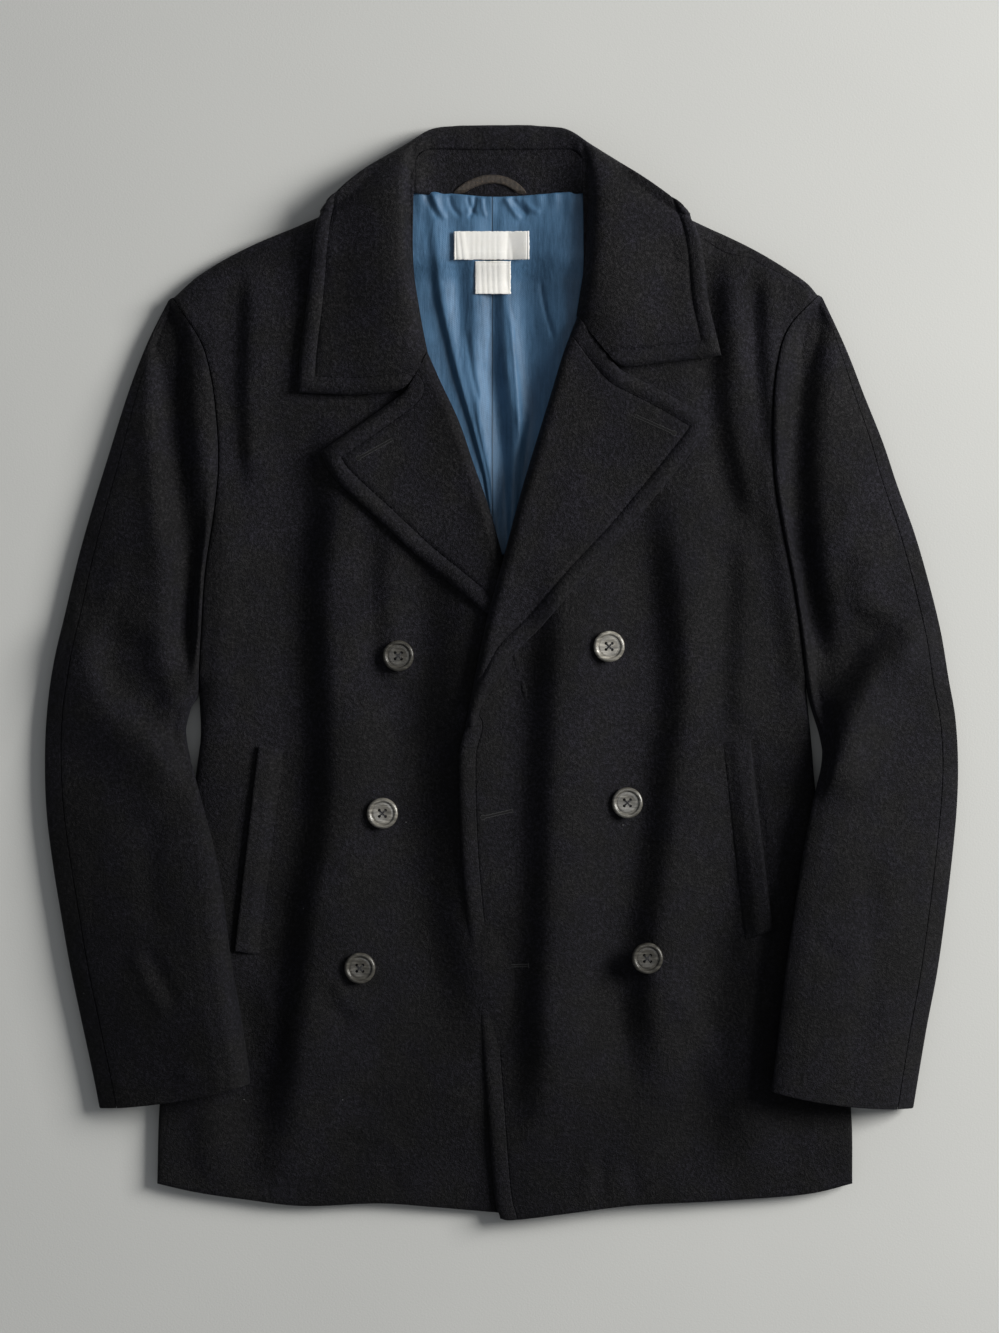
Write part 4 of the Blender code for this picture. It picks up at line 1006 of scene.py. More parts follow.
def makeCollar():
    lip, roll, outer = (through(collar[key]) for key in ("lip", "roll", "outer"))
    ends = [through(collar["endRight"]), through(collar["endLeft"])]
    u = stations(1.0 / collar["sharePerMm"], edgeSteps, edgeSteps, collar["columns"])[None, :]
    start, end, low = atStation(roll, u), atStation(outer, u), atStation(lip, u)
    hug = smooth(*collar["hug"], start[..., 2])
    crown = (start[..., 2] - low[..., 2]) * collar["crown"] * (1 - hug)
    start[..., 2] -= crown
    rise = np.linspace(0, 1, collar["lipRows"] + 1)[:-1, None, None]
    lipPart = low + (start - low) * rise
    lipPart[..., 2] += 4.0 * rise[..., 0] * (1.0 - rise[..., 0]) * collar["lipRound"] * hug
    v = stations(collar["leafWidth"], collar["leafSteps"], edgeSteps, collar["leafRows"])[:, None]
    leaf = start + (end - start) * v[..., None]
    toEnd = (end - start) * np.sign(start[..., :1])
    out = np.stack([-toEnd[..., 1], toEnd[..., 0], 0.0 * toEnd[..., 2]], -1)
    out /= np.linalg.norm(out, axis=-1)[..., None]
    turnAt, turnReach = collar["turnAt"]
    bow = np.where(start[..., 0] < 0, *collar["turnBow"]) * bell(start[..., 1] - turnAt, turnReach)
    bow = bow * 4.0 * v * (1.0 - v)
    leaf = leaf + out * bow[..., None]
    full = start[..., 2] + crown
    rise = (1 - hug) * smooth(*collar["slope"], v) + hug * (1 - v) ** 4
    leaf[..., 2] = np.maximum(0.0, end[..., 2] + (full - end[..., 2]) * rise)
    x, y = leaf[..., 0], leaf[..., 1]
    carried = np.where(x < 0, frontRight.top(x, y), frontLeft.top(x, y)) + cloth["lie"] + cloth["double"]
    onFronts = smooth(0.5, 0.0, hug) * smooth(*collar["carriedShare"], v)
    onFronts = onFronts * smooth(*collar["carriedHigh"], end[..., 2])
    leaf[..., 2] += np.maximum(0.0, carried - leaf[..., 2]) * onFronts
    leaf[..., 2] -= crown * (1.0 - rounded(v * collar["leafWidth"], collar["crownReach"]))
    part = collar["endPart"]
    for line, share in zip(ends, (np.clip(1 - part * u, 0, 1), np.clip(part * u - (part - 1), 0, 1))):
        bow = along(line, v) - line[0] - (line[-1] - line[0]) * v[..., None]
        leaf = leaf + share[..., None] * bow
    points = np.concatenate([lipPart, leaf], axis=0)
    fromRoll = np.arange(len(points)) - collar["lipRows"]
    held = collar["heldRows"]
    hold = np.concatenate([np.linspace(0, 1, held), np.ones(len(points) - held)])
    hold *= smooth(*collar["roundedRows"], fromRoll)
    for turn in range(collar["roundings"]):
        average = points.copy()
        average[1:-1] = 0.25 * points[:-2] + 0.5 * points[1:-1] + 0.25 * points[2:]
        points += (average - points) * hold[:, None, None]
    points += (start - points[collar["lipRows"]]) * bell(fromRoll, collar["restore"])[:, None, None]
    x, y = points[..., 0], points[..., 1]
    steps = np.linalg.norm(np.diff(points, axis=0), axis=-1)
    outerGap = np.concatenate([np.cumsum(steps[::-1], axis=0)[::-1], np.zeros((1, x.shape[1]))])
    outerRun = lengthsOf(points[-1])[None, :] + 0.0 * x
    endGaps = [nearest(line[collar["seamPoints"] :], x, y) for line in ends]
    rightEnd = u < 0.5
    endGap = np.where(rightEnd, endGaps[0][0], endGaps[1][0])
    endRun = np.where(rightEnd, endGaps[0][2], endGaps[1][2]) * collar["endRun"]
    gap = np.minimum(outerGap, endGap)
    run = np.where(outerGap < endGap, outerRun, endRun)
    acrossRun, upRun = np.gradient(points, axis=1), np.gradient(points, axis=0)
    normal = np.cross(acrossRun, upRun)
    normal /= np.maximum(np.linalg.norm(normal, axis=-1), 1e-9)[..., None]
    inwards, upwards = collar["toNeck"]
    toNeck = np.stack([-inwards * np.sign(x), 0.0 * x, upwards + 0.0 * x], -1)
    onLip = (smooth(3.0, -3.0, fromRoll)[:, None] * (1.0 - hug))[..., None]
    normal = normal * (1.0 - onLip) + toNeck * onLip
    normal /= np.linalg.norm(normal, axis=-1)[..., None]
    visible = smooth(-0.2, 0.5, normal[..., 2])
    lift = turnedEdge(gap, run) * visible * smooth(*collar["borderFrom"], end[..., 2])
    rise, size, seed = collar["rumples"]["leaf"]
    lift = lift + rise * rumple(x, y, size, seed) * visible
    backRoll = hug * smooth(*collar["backRoll"], y) * smooth(0.1, 0.8, normal[..., 2])
    uneven = sum(rise * rumple(x, 0.0 * y, size, seed) for rise, size, seed in collar["rumples"]["roll"])
    lift = lift + uneven * backRoll
    face = points + normal * lift[..., None]
    inner = points - normal * cloth["double"]
    edgeColumns = np.minimum(u, 1.0 - u) / collar["sharePerMm"]
    share = np.concatenate([np.zeros(collar["lipRows"]), v[:, 0]])[:, None]
    edgeColumns = edgeColumns + lapels["gorgeRim"] * smooth(*collar["gorgeShare"], share)
    rimGap = np.minimum(np.minimum(gap, edgeColumns), collar["rimFrom"] + np.arange(len(points))[:, None])
    face, inner = pinch(face, inner, rimGap, collar["rimReach"])
    face[..., 2] = np.maximum(face[..., 2], 0.0)
    inner[..., 2] = np.maximum(inner[..., 2], 0.0)
    return clothWall("coatCollar", face, inner, woolFinish, {"border": gap, "run": run})


def standTop(x, y):
    ease = 1.0 - collar["standEase"] * smooth(*collar["standEaseFrom"], y)
    middle, half = collar["standMiddle"]
    return collar["standLow"] + collar["standRise"] * np.minimum(1.0, np.abs(x - middle) / half) ** 6 * ease


def makeStand():
    foot, topLine = through(collar["standFoot"]), through(collar["standTop"])
    place = patch(foot, topLine, np.array([foot[0], topLine[0]]), np.array([foot[-1], topLine[-1]]))
    width, height = collar["standSize"]
    u = stations(width, hemSteps, hemSteps, collar["standColumns"])
    v = stations(height, hemSteps, hemSteps, collar["standRows"])[:, None]
    spot = place(u, v)
    x, y = spot[..., 0], spot[..., 1]
    rise, size, seed = collar["standRumple"]
    top = standTop(x, y) + rise * rumple(x, y, size, seed)
    gap = np.minimum(nearest(foot, x, y)[0], nearest(topLine, x, y)[0] + collar["standSewn"])
    return laidWall("collarStand", x, y, top, top - collar["standWall"], gap, woolFinish)


coatCollar = dress(makeCollar(), "wool", "collar")
collarStand = dress(makeStand(), "wool", "collar_stand")
print("collar made")


# Lining and what is sewn to it

lining = {
    "wall": 1.2,
    "edge": 10.0,  # how far it runs on under the lapels
    "foot": [(-14, 92), (-1, 89), (12, 92)],
    "pleatAt": -7.0,
    "columns": 140,
    "rows": 220,
    "lift": 3.6,
    "fullness": 1.45,
    "gather": (1.0, 6.0, 33),  # rise, size and seed of the gathers along the neck, then of the long waves
    "gatherFrom": (340, 357),
    "wave": (0.6, 13.0, 34),
    "waveFrom": (100, 160),
    "turnIn": 0.6,  # its turned top lies on the stand's foot
    "turnInFrom": (352, 359),
    "rim": 1.5,
    "top": [(-72, 366), (-38, 362.8), (-7, 360.3), (22, 361.6), (69, 365.4)],
    "drape": [  # long folds: place up the coat, where their troughs and crests lie, how high they are
        (362, [-60, -52, -40, -26, -8, 2, 20, 52], [0.0, 0.5, 0.0, 0.3, -0.3, 0.2, 0.0, 1.2]),
        (335, [-58, -50, -36, -24, -8, 2, 18, 52], [-0.4, 0.9, -0.3, 0.5, -0.5, 0.4, -0.1, 2.6]),
        (282, [-52, -45, -32, -21, -7, 3, 18, 52], [-1.4, 1.6, -0.6, 1.5, -1.8, 1.0, -1.2, 5.0]),
        (229, [-38.5, -33, -29, -21, -7, 5.5, 20, 50], [-1.6, 1.2, 1.1, 1.9, -2.6, 2.3, -1.5, 5.6]),
        (191, [-27, -22, -20, -17.5, -2.5, 12, 23, 40], [-1.6, 0.8, 0.9, 1.5, -2.9, 2.4, -0.8, 3.8]),
        (150, [-15, -11.5, -10.5, -9, 2, 9, 17, 30], [-1.2, 0.5, 0.6, 0.9, -1.6, 1.3, -0.3, 0.8]),
        (100, [-6, -5, -4, -3, 4, 7, 11, 20], [0.0, 0.2, 0.2, 0.3, -0.5, 0.4, 0.0, 0.2]),
    ],
    "folds": [
        (0.9, 2.0, [(4, 282), (7.5, 262), (10, 235), (12.5, 205), (14, 162)]),
        (-0.8, 1.8, [(29, 300), (33, 276), (40, 250)]),
        (-0.7, 2.4, [(-27, 262), (-23, 232), (-17, 204)]),
        (0.6, 3.0, [(-14, 300), (-13, 262), (-11, 225)]),
        (-1.1, 2.2, [(-58, 365), (-53, 353), (-48, 343)]),
        (0.9, 2.0, [(-53, 364), (-48, 353), (-42, 342)]),
        (-0.8, 1.8, [(-40, 363), (-37, 352), (-30, 344)]),
        (-1.0, 1.6, [(-20, 362), (-21, 352), (-25, 343)]),
        (0.9, 1.6, [(-15, 361), (-14, 352), (-12, 344)]),
        (-0.8, 1.5, [(-26, 362), (-24, 353), (-18, 345)]),
        (0.9, 1.8, [(2, 361), (7, 352), (15, 342)]),
        (-0.9, 1.8, [(7, 361), (12, 354), (21, 346)]),
        (0.7, 2.0, [(16, 361), (20, 353), (30, 347)]),
    ],
}


def draped(x, y):  # soft long folds between the troughs and crests of the table
    x, y = np.broadcast_arrays(x, y)
    up = np.array([row[0] for row in lining["drape"]], float)[::-1]
    count = len(lining["drape"][0][1])
    places = [np.interp(y, up, [row[1][k] for row in lining["drape"]][::-1]) for k in range(count)]
    rises = [np.interp(y, up, [row[2][k] for row in lining["drape"]][::-1]) for k in range(count)]
    total = rises[0].copy()
    for k in range(count - 1):
        total += (rises[k + 1] - rises[k]) * smooth(0.0, 1.0, (x - places[k]) / (places[k + 1] - places[k]))
    return total


def liningTop(x, y):
    base = cloth["wall"] + cloth["seam"] + lining["wall"] + lining["lift"] + neckLift(x, y)
    rise, size, seed = lining["gather"]
    gathers = rise * rumple(x, 0.25 * y, size, seed) * smooth(*lining["gatherFrom"], y)
    rise, size, seed = lining["wave"]
    waves = rise * rumple(x, 0.2 * y, size, seed) * smooth(*lining["waveFrom"], y)
    over = lining["turnIn"] * smooth(*lining["turnInFrom"], y)
    folds = lining["fullness"] * (draped(x, y) + folded(lining["folds"], x, y))
    return base + folds + gathers + waves + over


def makeLining():
    right = [(x - lining["edge"], y) for x, y in rightFront["roll"][2:] + rightFront["neck"][:-1]]
    left = [(x + lining["edge"], y) for x, y in leftFront["roll"][4:] + leftFront["neck"][:-1]]
    foot = lining["foot"]
    right = through([foot[0]] + right + [lining["top"][0]])
    left = through([foot[-1]] + left + [lining["top"][-1]])
    place = patch(through(foot), through(lining["top"]), right, left)
    u, v = np.linspace(0, 1, lining["columns"] + 1), np.linspace(0, 1, lining["rows"] + 1)
    spot = place(u[None, :], v[:, None])
    x, y = spot[..., 0], spot[..., 1]
    top = liningTop(x, y)
    marks = {"seam": seamMark + x - lining["pleatAt"]}
    gap = nearest(through(lining["top"]), x, y)[0]
    return laidWall("backLining", x, y, top, top - lining["wall"], gap, satinFinish, marks, lining["rim"])


labels = {
    "lift": 0.25,
    "hang": 0.9,  # how far the care label's loose end stands off
    "spans": 20.0,  # it lies on the lining's crests this far to both sides
    "spanPoints": 11,
    "ravel": (0.25, 0.9, 52),  # rise, size and seed of how its woven ends fray
    "wall": 0.5,
    "rim": 0.6,
    "neck": (-36.0, 21.0, 312.5, 334.0),
    "care": (-20.0, 7.0, 287.0, 311.5),
    "stitchesIn": 1.6,  # from a sewn edge to its stitches
    "stitchDepth": 0.15,
}


def makeLabel(name, box, columns, rows, sewnEnds):
    xFrom, xTo, yFrom, yTo = box
    x = xFrom + (xTo - xFrom) * np.linspace(0, 1, columns + 1)[None, :]
    y = yFrom + (yTo - yFrom) * np.linspace(0, 1, rows + 1)[:, None]
    x, y = np.broadcast_arrays(x, y)
    loose = 0.0 if sewnEnds else labels["hang"] * (1.0 - (y - yFrom) / (yTo - yFrom))
    shifts = labels["spans"] * np.linspace(-1.0, 1.0, labels["spanPoints"])
    across = [liningTop(x + shift, y) for shift in shifts]
    under = np.max(across, axis=0) + labels["lift"] + loose
    gap = np.minimum(np.minimum(x - xFrom, xTo - x), np.minimum(y - yFrom, yTo - y))
    sewn = (np.minimum(x - xFrom, xTo - x) if sewnEnds else yTo - y) - labels["stitchesIn"]
    top = under + labels["wall"] - labels["stitchDepth"] * bell(sewn, 0.7)
    rise, size, seed = labels["ravel"]
    ravel = rise * rumple(x, y, size, seed) * smooth(0.5, 0.0, gap)
    marks = {"seam": seamMark + sewn}
    return laidWall(name, x + ravel, y + ravel, top, under, gap, wovenFinish, marks, labels["rim"])


loop = {
    "line": [
        (-35.5, 360), (-30.5, 365), (-24, 369.3), (-15, 372.7), (-6.5, 373.6), (2, 372.3), (9.5, 368.6),
        (14.5, 364), (17.5, 359),
    ],
    "across": 6.6,
    "lie": 0.4,
    "tuck": 3.0,  # how far its feet go down under the lining
    "tuckFrom": (365.5, 361.0),
    "wall": 1.6,
    "crown": 0.7,
    "rim": 1.0,
    "columns": 96,
    "rows": 14,
}


def makeLoop():
    line = through(loop["line"])
    u = np.linspace(0, 1, loop["columns"] + 1)[None, :]
    side = np.linspace(-0.5, 0.5, loop["rows"] + 1)[:, None]
    middle = along(line, u)
    run = along(line, np.minimum(u + 0.02, 1.0)) - along(line, np.maximum(u - 0.02, 0.0))
    run /= np.linalg.norm(run, axis=-1)[..., None]
    x = middle[..., 0] - run[..., 1] * side * loop["across"]
    y = middle[..., 1] + run[..., 0] * side * loop["across"]
    under = standTop(x, y) + loop["lie"] - loop["tuck"] * smooth(*loop["tuckFrom"], y)
    crown = loop["crown"] * np.sqrt(np.clip(1.0 - (2 * side) ** 2, 0.0, 1.0))
    top = under + loop["wall"] - loop["crown"] + crown
    gap = (0.5 - np.abs(side)) * loop["across"] + 0.0 * x
    return laidWall("hangerTape", x, y, top, under, gap, tapeFinish, None, loop["rim"])


backLining = dress(makeLining(), "lining", "lining")
neckLabel = dress(makeLabel("neckLabel", labels["neck"], 76, 30, True), "label", "label")
careLabel = dress(makeLabel("careLabel", labels["care"], 40, 36, False), "label", "care_label")
hangerTape = dress(makeLoop(), "tape", "hanger_loop")
print("lining made")


# Sleeves

sleeves = {
    "length": 650.0,
    "hindSeam": 0.885,  # share of the width, from the inner edge
    "underRise": 8.0,
    "climb": (-48.0, -76.0),  # places up the coat between which it comes to lie on the body
    "slope": 34.0,  # width of the way up on to the body
    "free": 8.0,  # height of the inner edge at which the sleeve is closed there
    "cuffBow": 3.5,
    "innerReach": (15.0, 34.0),  # width over which the inner edge rounds over, free and at the armhole
    "outerReach": 24.0,
    "crest": 0.2,  # share of the width at which it is highest
    "lean": 0.8,  # how much it falls away from there to its outer edge
    "underRound": 7.0,
    "hollow": (1.6, 14.0),  # least room inside, and how far from the edges it is reached
    "edgeTurn": 12.0,
    "rim": 1.3,
    "seamPuff": (0.12, 7.0),
    "overWidth": 110.0,  # about the sleeve's width, for the part that turns over the outer edge
    "rumples": [(0.3, 21.0, 90), (0.09, 9.0, 91)],  # rise, size, seed, alike on both
    "ownRumple": (0.5, 55.0),  # with each sleeve's own seed
    "rumpleFade": 9.0,
    "upperSpread": 0.78 * math.pi,
    "turnSpread": 1.6,
    "upperColumns": 62,
    "underColumns": 40,
    "turnColumns": 16,
    "rows": 196,
}

# Sections from the armhole to the cuff: outer edge x and y, inner edge x and y, height, height of the
# inner edge above what it lies on (0 where the sleeve is sewn to the front).
rightSleeve = {
    "sections": [
        (-252, 283, -247, 284, 12, 0), (-268, 251, -228, 253, 18, 0), (-283, 212, -219, 221, 22, 0),
        (-299, 161, -214.5, 168, 25, 0), (-311, 122, -217, 126, 26, 0), (-321, 86, -224, 80, 26, 0),
        (-331, 44, -227, 35, 25, 0), (-339, 10, -229.5, -8, 25, 0), (-344, -24, -236, -29, 25, 8),
        (-346, -60, -238.5, -50, 26, 8), (-345, -103, -228, -90, 27, 8), (-340, -145, -217, -131, 30, 8),
        (-333.5, -185, -210, -170, 32, 8), (-327, -222, -205, -211, 33, 8), (-318, -265, -198, -254, 33, 8),
        (-310, -302, -193, -286, 32, 8), (-304.5, -330, -190, -310, 31, 8),
    ],
    "folds": [
        (
            -13.5, 13,
            [(-261, 300), (-254, 262), (-251, 244), (-248, 206), (-245, 169), (-241, 131), (-237, 93),
             (-237, 55), (-239, 17), (-244, -20)],
        ),
        (2.2, 9, [(-264, 255), (-267, 200), (-265, 160), (-261, 110), (-257, 66)]),
        (-2.0, 12, [(-278, 34), (-268, 0), (-252, -26)]),
        (-1.6, 11, [(-262, -104), (-266, -150), (-262, -196)]),
        (-1.5, 6, [(-266, -206), (-256, -228), (-244, -252)]),
        (1.3, 6, [(-280, -206), (-266, -236), (-250, -262)]),
        (1.2, 7, [(-246, -300), (-226, -306), (-206, -300)]),
        (1.0, 8, [(-284, 96), (-296, 60), (-303, 26)]),
    ],
    "creases": [
        (
            4.2, 14, 22,
            [(-232, -96), (-242, -70), (-258, -50), (-277, -32), (-293, -16), (-303, 4), (-303, 26),
             (-296, 52)],
        ),
    ],
    "seed": 71,
}

leftSleeve = {
    "sections": [
        (243, 285, 238, 286, 12, 0), (261, 246, 216, 256, 18, 0), (275, 210, 208, 226, 22, 0),
        (289, 175, 205.5, 186, 25, 0), (300, 142, 206.5, 146, 26, 0), (313, 106, 213, 108, 26, 0),
        (324, 68, 221.5, 66, 25, 0), (333, 31, 227.5, 25, 25, 0), (339, -5, 231.5, -10, 25, 3),
        (344, -34, 241, -48, 26, 8), (346, -68, 242, -66, 28, 10), (345, -103, 234, -100, 31, 13),
        (341, -145, 226, -141, 35, 15), (336, -186, 219, -186, 37, 17), (330, -228, 213, -228, 38, 17),
        (322, -270, 208, -272, 37, 16), (312, -330, 203, -315, 35, 14),
    ],
    "folds": [
        (
            -13.0, 12,
            [(242, 300), (235, 262), (231, 240), (226, 204), (224, 169), (225, 131), (228, 93), (234, 55),
             (241, 17), (248, -20)],
        ),
        (-2.2, 8, [(304, 34), (294, 10), (280, -12)]),
        (-1.4, 10, [(277, -130), (279, -200), (276, -300)]),
        (-0.9, 5, [(232, -196), (246, -208), (262, -216)]),
        (-0.8, 6, [(262, -250), (268, -270), (266, -292)]),
        (0.9, 8, [(266, 150), (262, 120), (258, 84)]),
    ],
    "creases": [
        (
            7.2, 14, 20,
            [(304, 50), (299, 34), (290, 20), (275, 5), (260, -17), (248, -43), (238, -70), (230, -98)],
        ),
        (1.5, 12, 14, [(266, 104), (266, 60), (270, 24), (274, 0)]),
    ],
    "seed": 72,
}


class Sleeve:
    def __init__(self, front, cut):
        self.front, self.cut = front, cut
        self.sections = through(cut["sections"], 6)

    def ground(self, x, y):  # the floor, or the body with a slope up to it
        side = self.front.side
        sideX = np.interp(y, side[:, 1], side[:, 0])
        inside = np.where(sideX > 0, sideX - x, x - sideX)
        onBody = np.where(inside > 0, self.front.top(x, y), body["rimTop"]) + cloth["drape"]
        return onBody * smooth(-sleeves["slope"], 0.0, inside) * smooth(*sleeves["climb"], y)

    def face(self, v, p, upper):  # outer and inner places at share p of the width, from the inner edge
        v, p = np.broadcast_arrays(v, p)
        outerX, outerY, innerX, innerY, high, innerHigh = np.moveaxis(along(self.sections, v), -1, 0)
        closed = smooth(0.0, sleeves["free"], innerHigh)
        armholeX = np.interp(innerY, self.front.outer[:, 1], self.front.outer[:, 0])
        innerX = innerX * closed + (armholeX + np.sign(armholeX) * cloth["armholeSeam"]) * (1 - closed)
        acrossX, acrossY = outerX - innerX, outerY - innerY
        width = np.hypot(acrossX, acrossY)
        acrossX, acrossY = acrossX / width, acrossY / width
        x, y = innerX + acrossX * width * p, innerY + acrossY * width * p
        y = y - sleeves["cuffBow"] * v**6 * 4 * p * (1 - p)
        near = np.minimum(p, 1 - p) * width
        ground = self.ground(x, y)
        beside = self.ground(innerX, innerY) + innerHigh
        innerEdge = self.front.top(innerX, innerY) * (1 - closed) + beside * closed
        edge = innerEdge + (sleeves["underRise"] - innerEdge) * p
        if upper:
            free, sewn = sleeves["innerReach"]
            beyond = (p - sleeves["crest"]) / (1.0 - sleeves["crest"])
            lean = 1.0 - sleeves["lean"] * np.clip(beyond, 0.0, 1.0)
            swell = rounded(p * width, free * closed + sewn * (1 - closed)) * lean
            swell = swell * rounded((1.0 - p) * width, sleeves["outerReach"])
            relief = folded(self.cut["folds"], x, y) + cloth["relief"] * stepped(self.cut["creases"], x, y)
            for rise, size, seed in [(*sleeves["ownRumple"], self.cut["seed"]), *sleeves["rumples"]]:
                relief = relief + rise * rumple(x, y, size, seed)
            relief = relief * smooth(0.0, sleeves["rumpleFade"], near)
            z = edge + cloth["seam"] + (high - edge) * swell + relief
            room, reach = sleeves["hollow"]
            z = np.maximum(z, ground + cloth["wall"] * 2 + room * smooth(0.0, reach, near))
        else:
            flat = np.sqrt(1.0 - np.abs(2 * p - 1) ** sleeves["underRound"])
            rise = np.where(p > 0.5, edge - ground, (edge - ground) * closed)
            z = ground + rise * (1.0 - flat)
        openSide = np.where(p < 0.5, closed, 1.0)
        lean = math.pi / 2 * (1 - openSide * (1 - np.minimum(1.0, near / sleeves["edgeTurn"])))
        inward = cloth["wall"] * np.cos(lean) * np.where(p < 0.5, 1.0, -1.0)
        drop = cloth["wall"] * np.sin(lean) * (-1.0 if upper else 1.0)
        outer = np.stack([x, y, z], axis=-1)
        return outer, np.stack([x + acrossX * inward, y + acrossY * inward, z + drop], axis=-1), width


def rimShares(count):  # even steps with more of them at both ends
    ends = np.array([0.0, 0.004, 0.010, 0.019, 0.032])
    return np.concatenate([ends, np.linspace(0.05, 0.95, count), 1.0 - ends[::-1]])


def makeSleeve(side, front, cut):
    sleeve = Sleeve(front, cut)
    v = stations(sleeves["length"], hemSteps, hemSteps, sleeves["rows"])[:, None]
    ends = along(sleeve.sections, v)
    width = np.hypot(ends[..., 0] - ends[..., 2], ends[..., 1] - ends[..., 3])
    t = rimShares(sleeves["upperColumns"])[None, :]
    last = 1.0 - math.cos(sleeves["upperSpread"])
    p = (1.0 - np.cos(sleeves["upperSpread"] * t)) / last * (sleeves["hindSeam"] - cloth["seam"] / width)
    outer, inner, w = sleeve.face(v, p, True)
    seamGap = (sleeves["hindSeam"] - p) * w
    armholeGap, cuffGap = v * sleeves["length"], (1.0 - v) * sleeves["length"]
    gap = np.minimum(np.minimum(seamGap, cuffGap), np.minimum(p * w + 0.6, armholeGap))
    puff, reach = sleeves["seamPuff"]
    outer[..., 2] += puff * np.sin(np.pi * np.clip(seamGap / reach, 0, 1)) * smooth(1.0, 0.9, p)
    outer, inner = pinch(outer, inner, gap + 0.5, sleeves["rim"])
    upper = clothWall("upperSleeve" + side, outer, inner, woolFinish)
    t = np.linspace(0, 1, sleeves["underColumns"] + 1)
    turned = rimShares(sleeves["turnColumns"])
    beneath = 0.5 - 0.5 * np.cos(np.pi * t)
    above = 1.0 - (1.0 - sleeves["hindSeam"]) * turned[1:] ** sleeves["turnSpread"]
    under = sleeve.face(v, beneath[None, :], False)
    over = sleeve.face(v, above[None, :], True)
    outer, inner = (np.concatenate([under[k], over[k]], axis=1) for k in (0, 1))
    toSeam = (above - sleeves["hindSeam"]) * sleeves["overWidth"]
    seamGap = np.concatenate([np.full(len(t), sleeves["overWidth"]), toSeam])[None, :]
    gap = np.minimum(np.minimum(seamGap + 0.5, cuffGap), armholeGap)
    outer, inner = pinch(outer, inner, gap, sleeves["rim"])
    outer[..., 2] = np.maximum(outer[..., 2], 0.0)
    return upper, clothWall("underSleeve" + side, outer, inner, woolFinish)


upperSleeveRight, underSleeveRight = makeSleeve("Right", frontRight, rightSleeve)
upperSleeveLeft, underSleeveLeft = makeSleeve("Left", frontLeft, leftSleeve)
dress(upperSleeveRight, "wool", "upper_sleeve_right")
dress(underSleeveRight, "wool", "under_sleeve_right")
dress(upperSleeveLeft, "wool", "upper_sleeve_left")
dress(underSleeveLeft, "wool", "under_sleeve_left")
print("sleeves made")


# Pocket welts

welts = {
    "lie": 0.7,
    "wall": 3.0,
    "size": (19.5, 158.0),
    "sunk": 3.0,  # its inner long edge is sewn down
    "sunkFrom": (0.45, 1.0),
    "mouth": {"right": 1.4, "left": 0.2},  # how far the open long side stands off the front
    "rumple": (0.2, 15.0, 61),
    "rim": 2.4,
    "columns": 14,
    "rows": 70,
    "right": [  # inner top, outer top, outer foot, inner foot
        (-165, -58), (-184, -55), (-202.5, -211), (-184, -214),
    ],
    "left": [(167, -52), (188, -50), (205, -194), (184, -202)],
}


def makeWelt(name, front, corners, mouth):
    innerTop, outerTop, outerFoot, innerFoot = (np.array(corner, float) for corner in corners)
    width, length = welts["size"]
    u = stations(width, hemSteps, hemSteps, welts["columns"])[None, :, None]
    v = stations(length, hemSteps, hemSteps, welts["rows"])[:, None, None]
    spot = (1 - v) * ((1 - u) * outerFoot + u * innerFoot) + v * ((1 - u) * outerTop + u * innerTop)
    x, y = spot[..., 0], spot[..., 1]
    u, v = u[..., 0], v[..., 0]
    under = front.top(x, y) + welts["lie"] + mouth * (1 - u) ** 2 * np.sin(np.pi * v) ** 0.4
    under = under - welts["sunk"] * smooth(*welts["sunkFrom"], u)
    gap = np.minimum(np.minimum(u, 1 - u) * width, np.minimum(v, 1 - v) * length)
    rise, size, seed = welts["rumple"]
    top = under + welts["wall"] + rise * rumple(x, y, size, seed)
    return laidWall(name, x, y, top, under, gap, woolFinish, None, welts["rim"])


rightWelt = makeWelt("rightWelt", frontRight, welts["right"], welts["mouth"]["right"])
leftWelt = makeWelt("leftWelt", frontLeft, welts["left"], welts["mouth"]["left"])
dress(rightWelt, "wool", "pocket_welt_right")
dress(leftWelt, "wool", "pocket_welt_left")
print("welts made")


# Buttons

buttons = {
    "across": 23.5,
    "profile": [  # distance in from the rim, height
        (2.2, 0.0), (1.0, 0.25), (0.3, 0.9), (0.0, 1.9), (0.05, 2.8), (0.3, 3.6), (0.9, 4.15), (1.7, 4.4),
        (2.5, 4.25), (3.0, 3.7), (3.25, 3.2), (3.6, 3.1), (4.2, 3.3), (5.5, 3.25), (7.5, 3.05), (9.5, 2.92),
        (11.0, 2.88),
    ],
    "middle": 2.86,  # height at the very middle
    "steps": 72,
    "seatPoints": 18,  # round the foot, where the cloth's height is taken
    "hole": 2.2,
    "holeSides": 24,
    "drill": 20.0,  # long enough to go right through
    "fromMiddle": 3.3,
    "clear": 0.4,
    "sharp": 50.0,  # degrees
    "strands": (-0.35, 0.0, 0.35),
    "strand": 0.24,  # radius
    "strandTop": 3.25,
    "strandDrop": 1.9,  # from there into a hole
    "right": [(-78, 13, 0.50), (-90, -106, 1.6), (-107, -223, 0.62)],  # place, and a factor on its horn colour that paints in how much light it catches
    "left": [(81, 20, 2.4), (95, -98, 1.1), (110, -215, 0.52)],
}


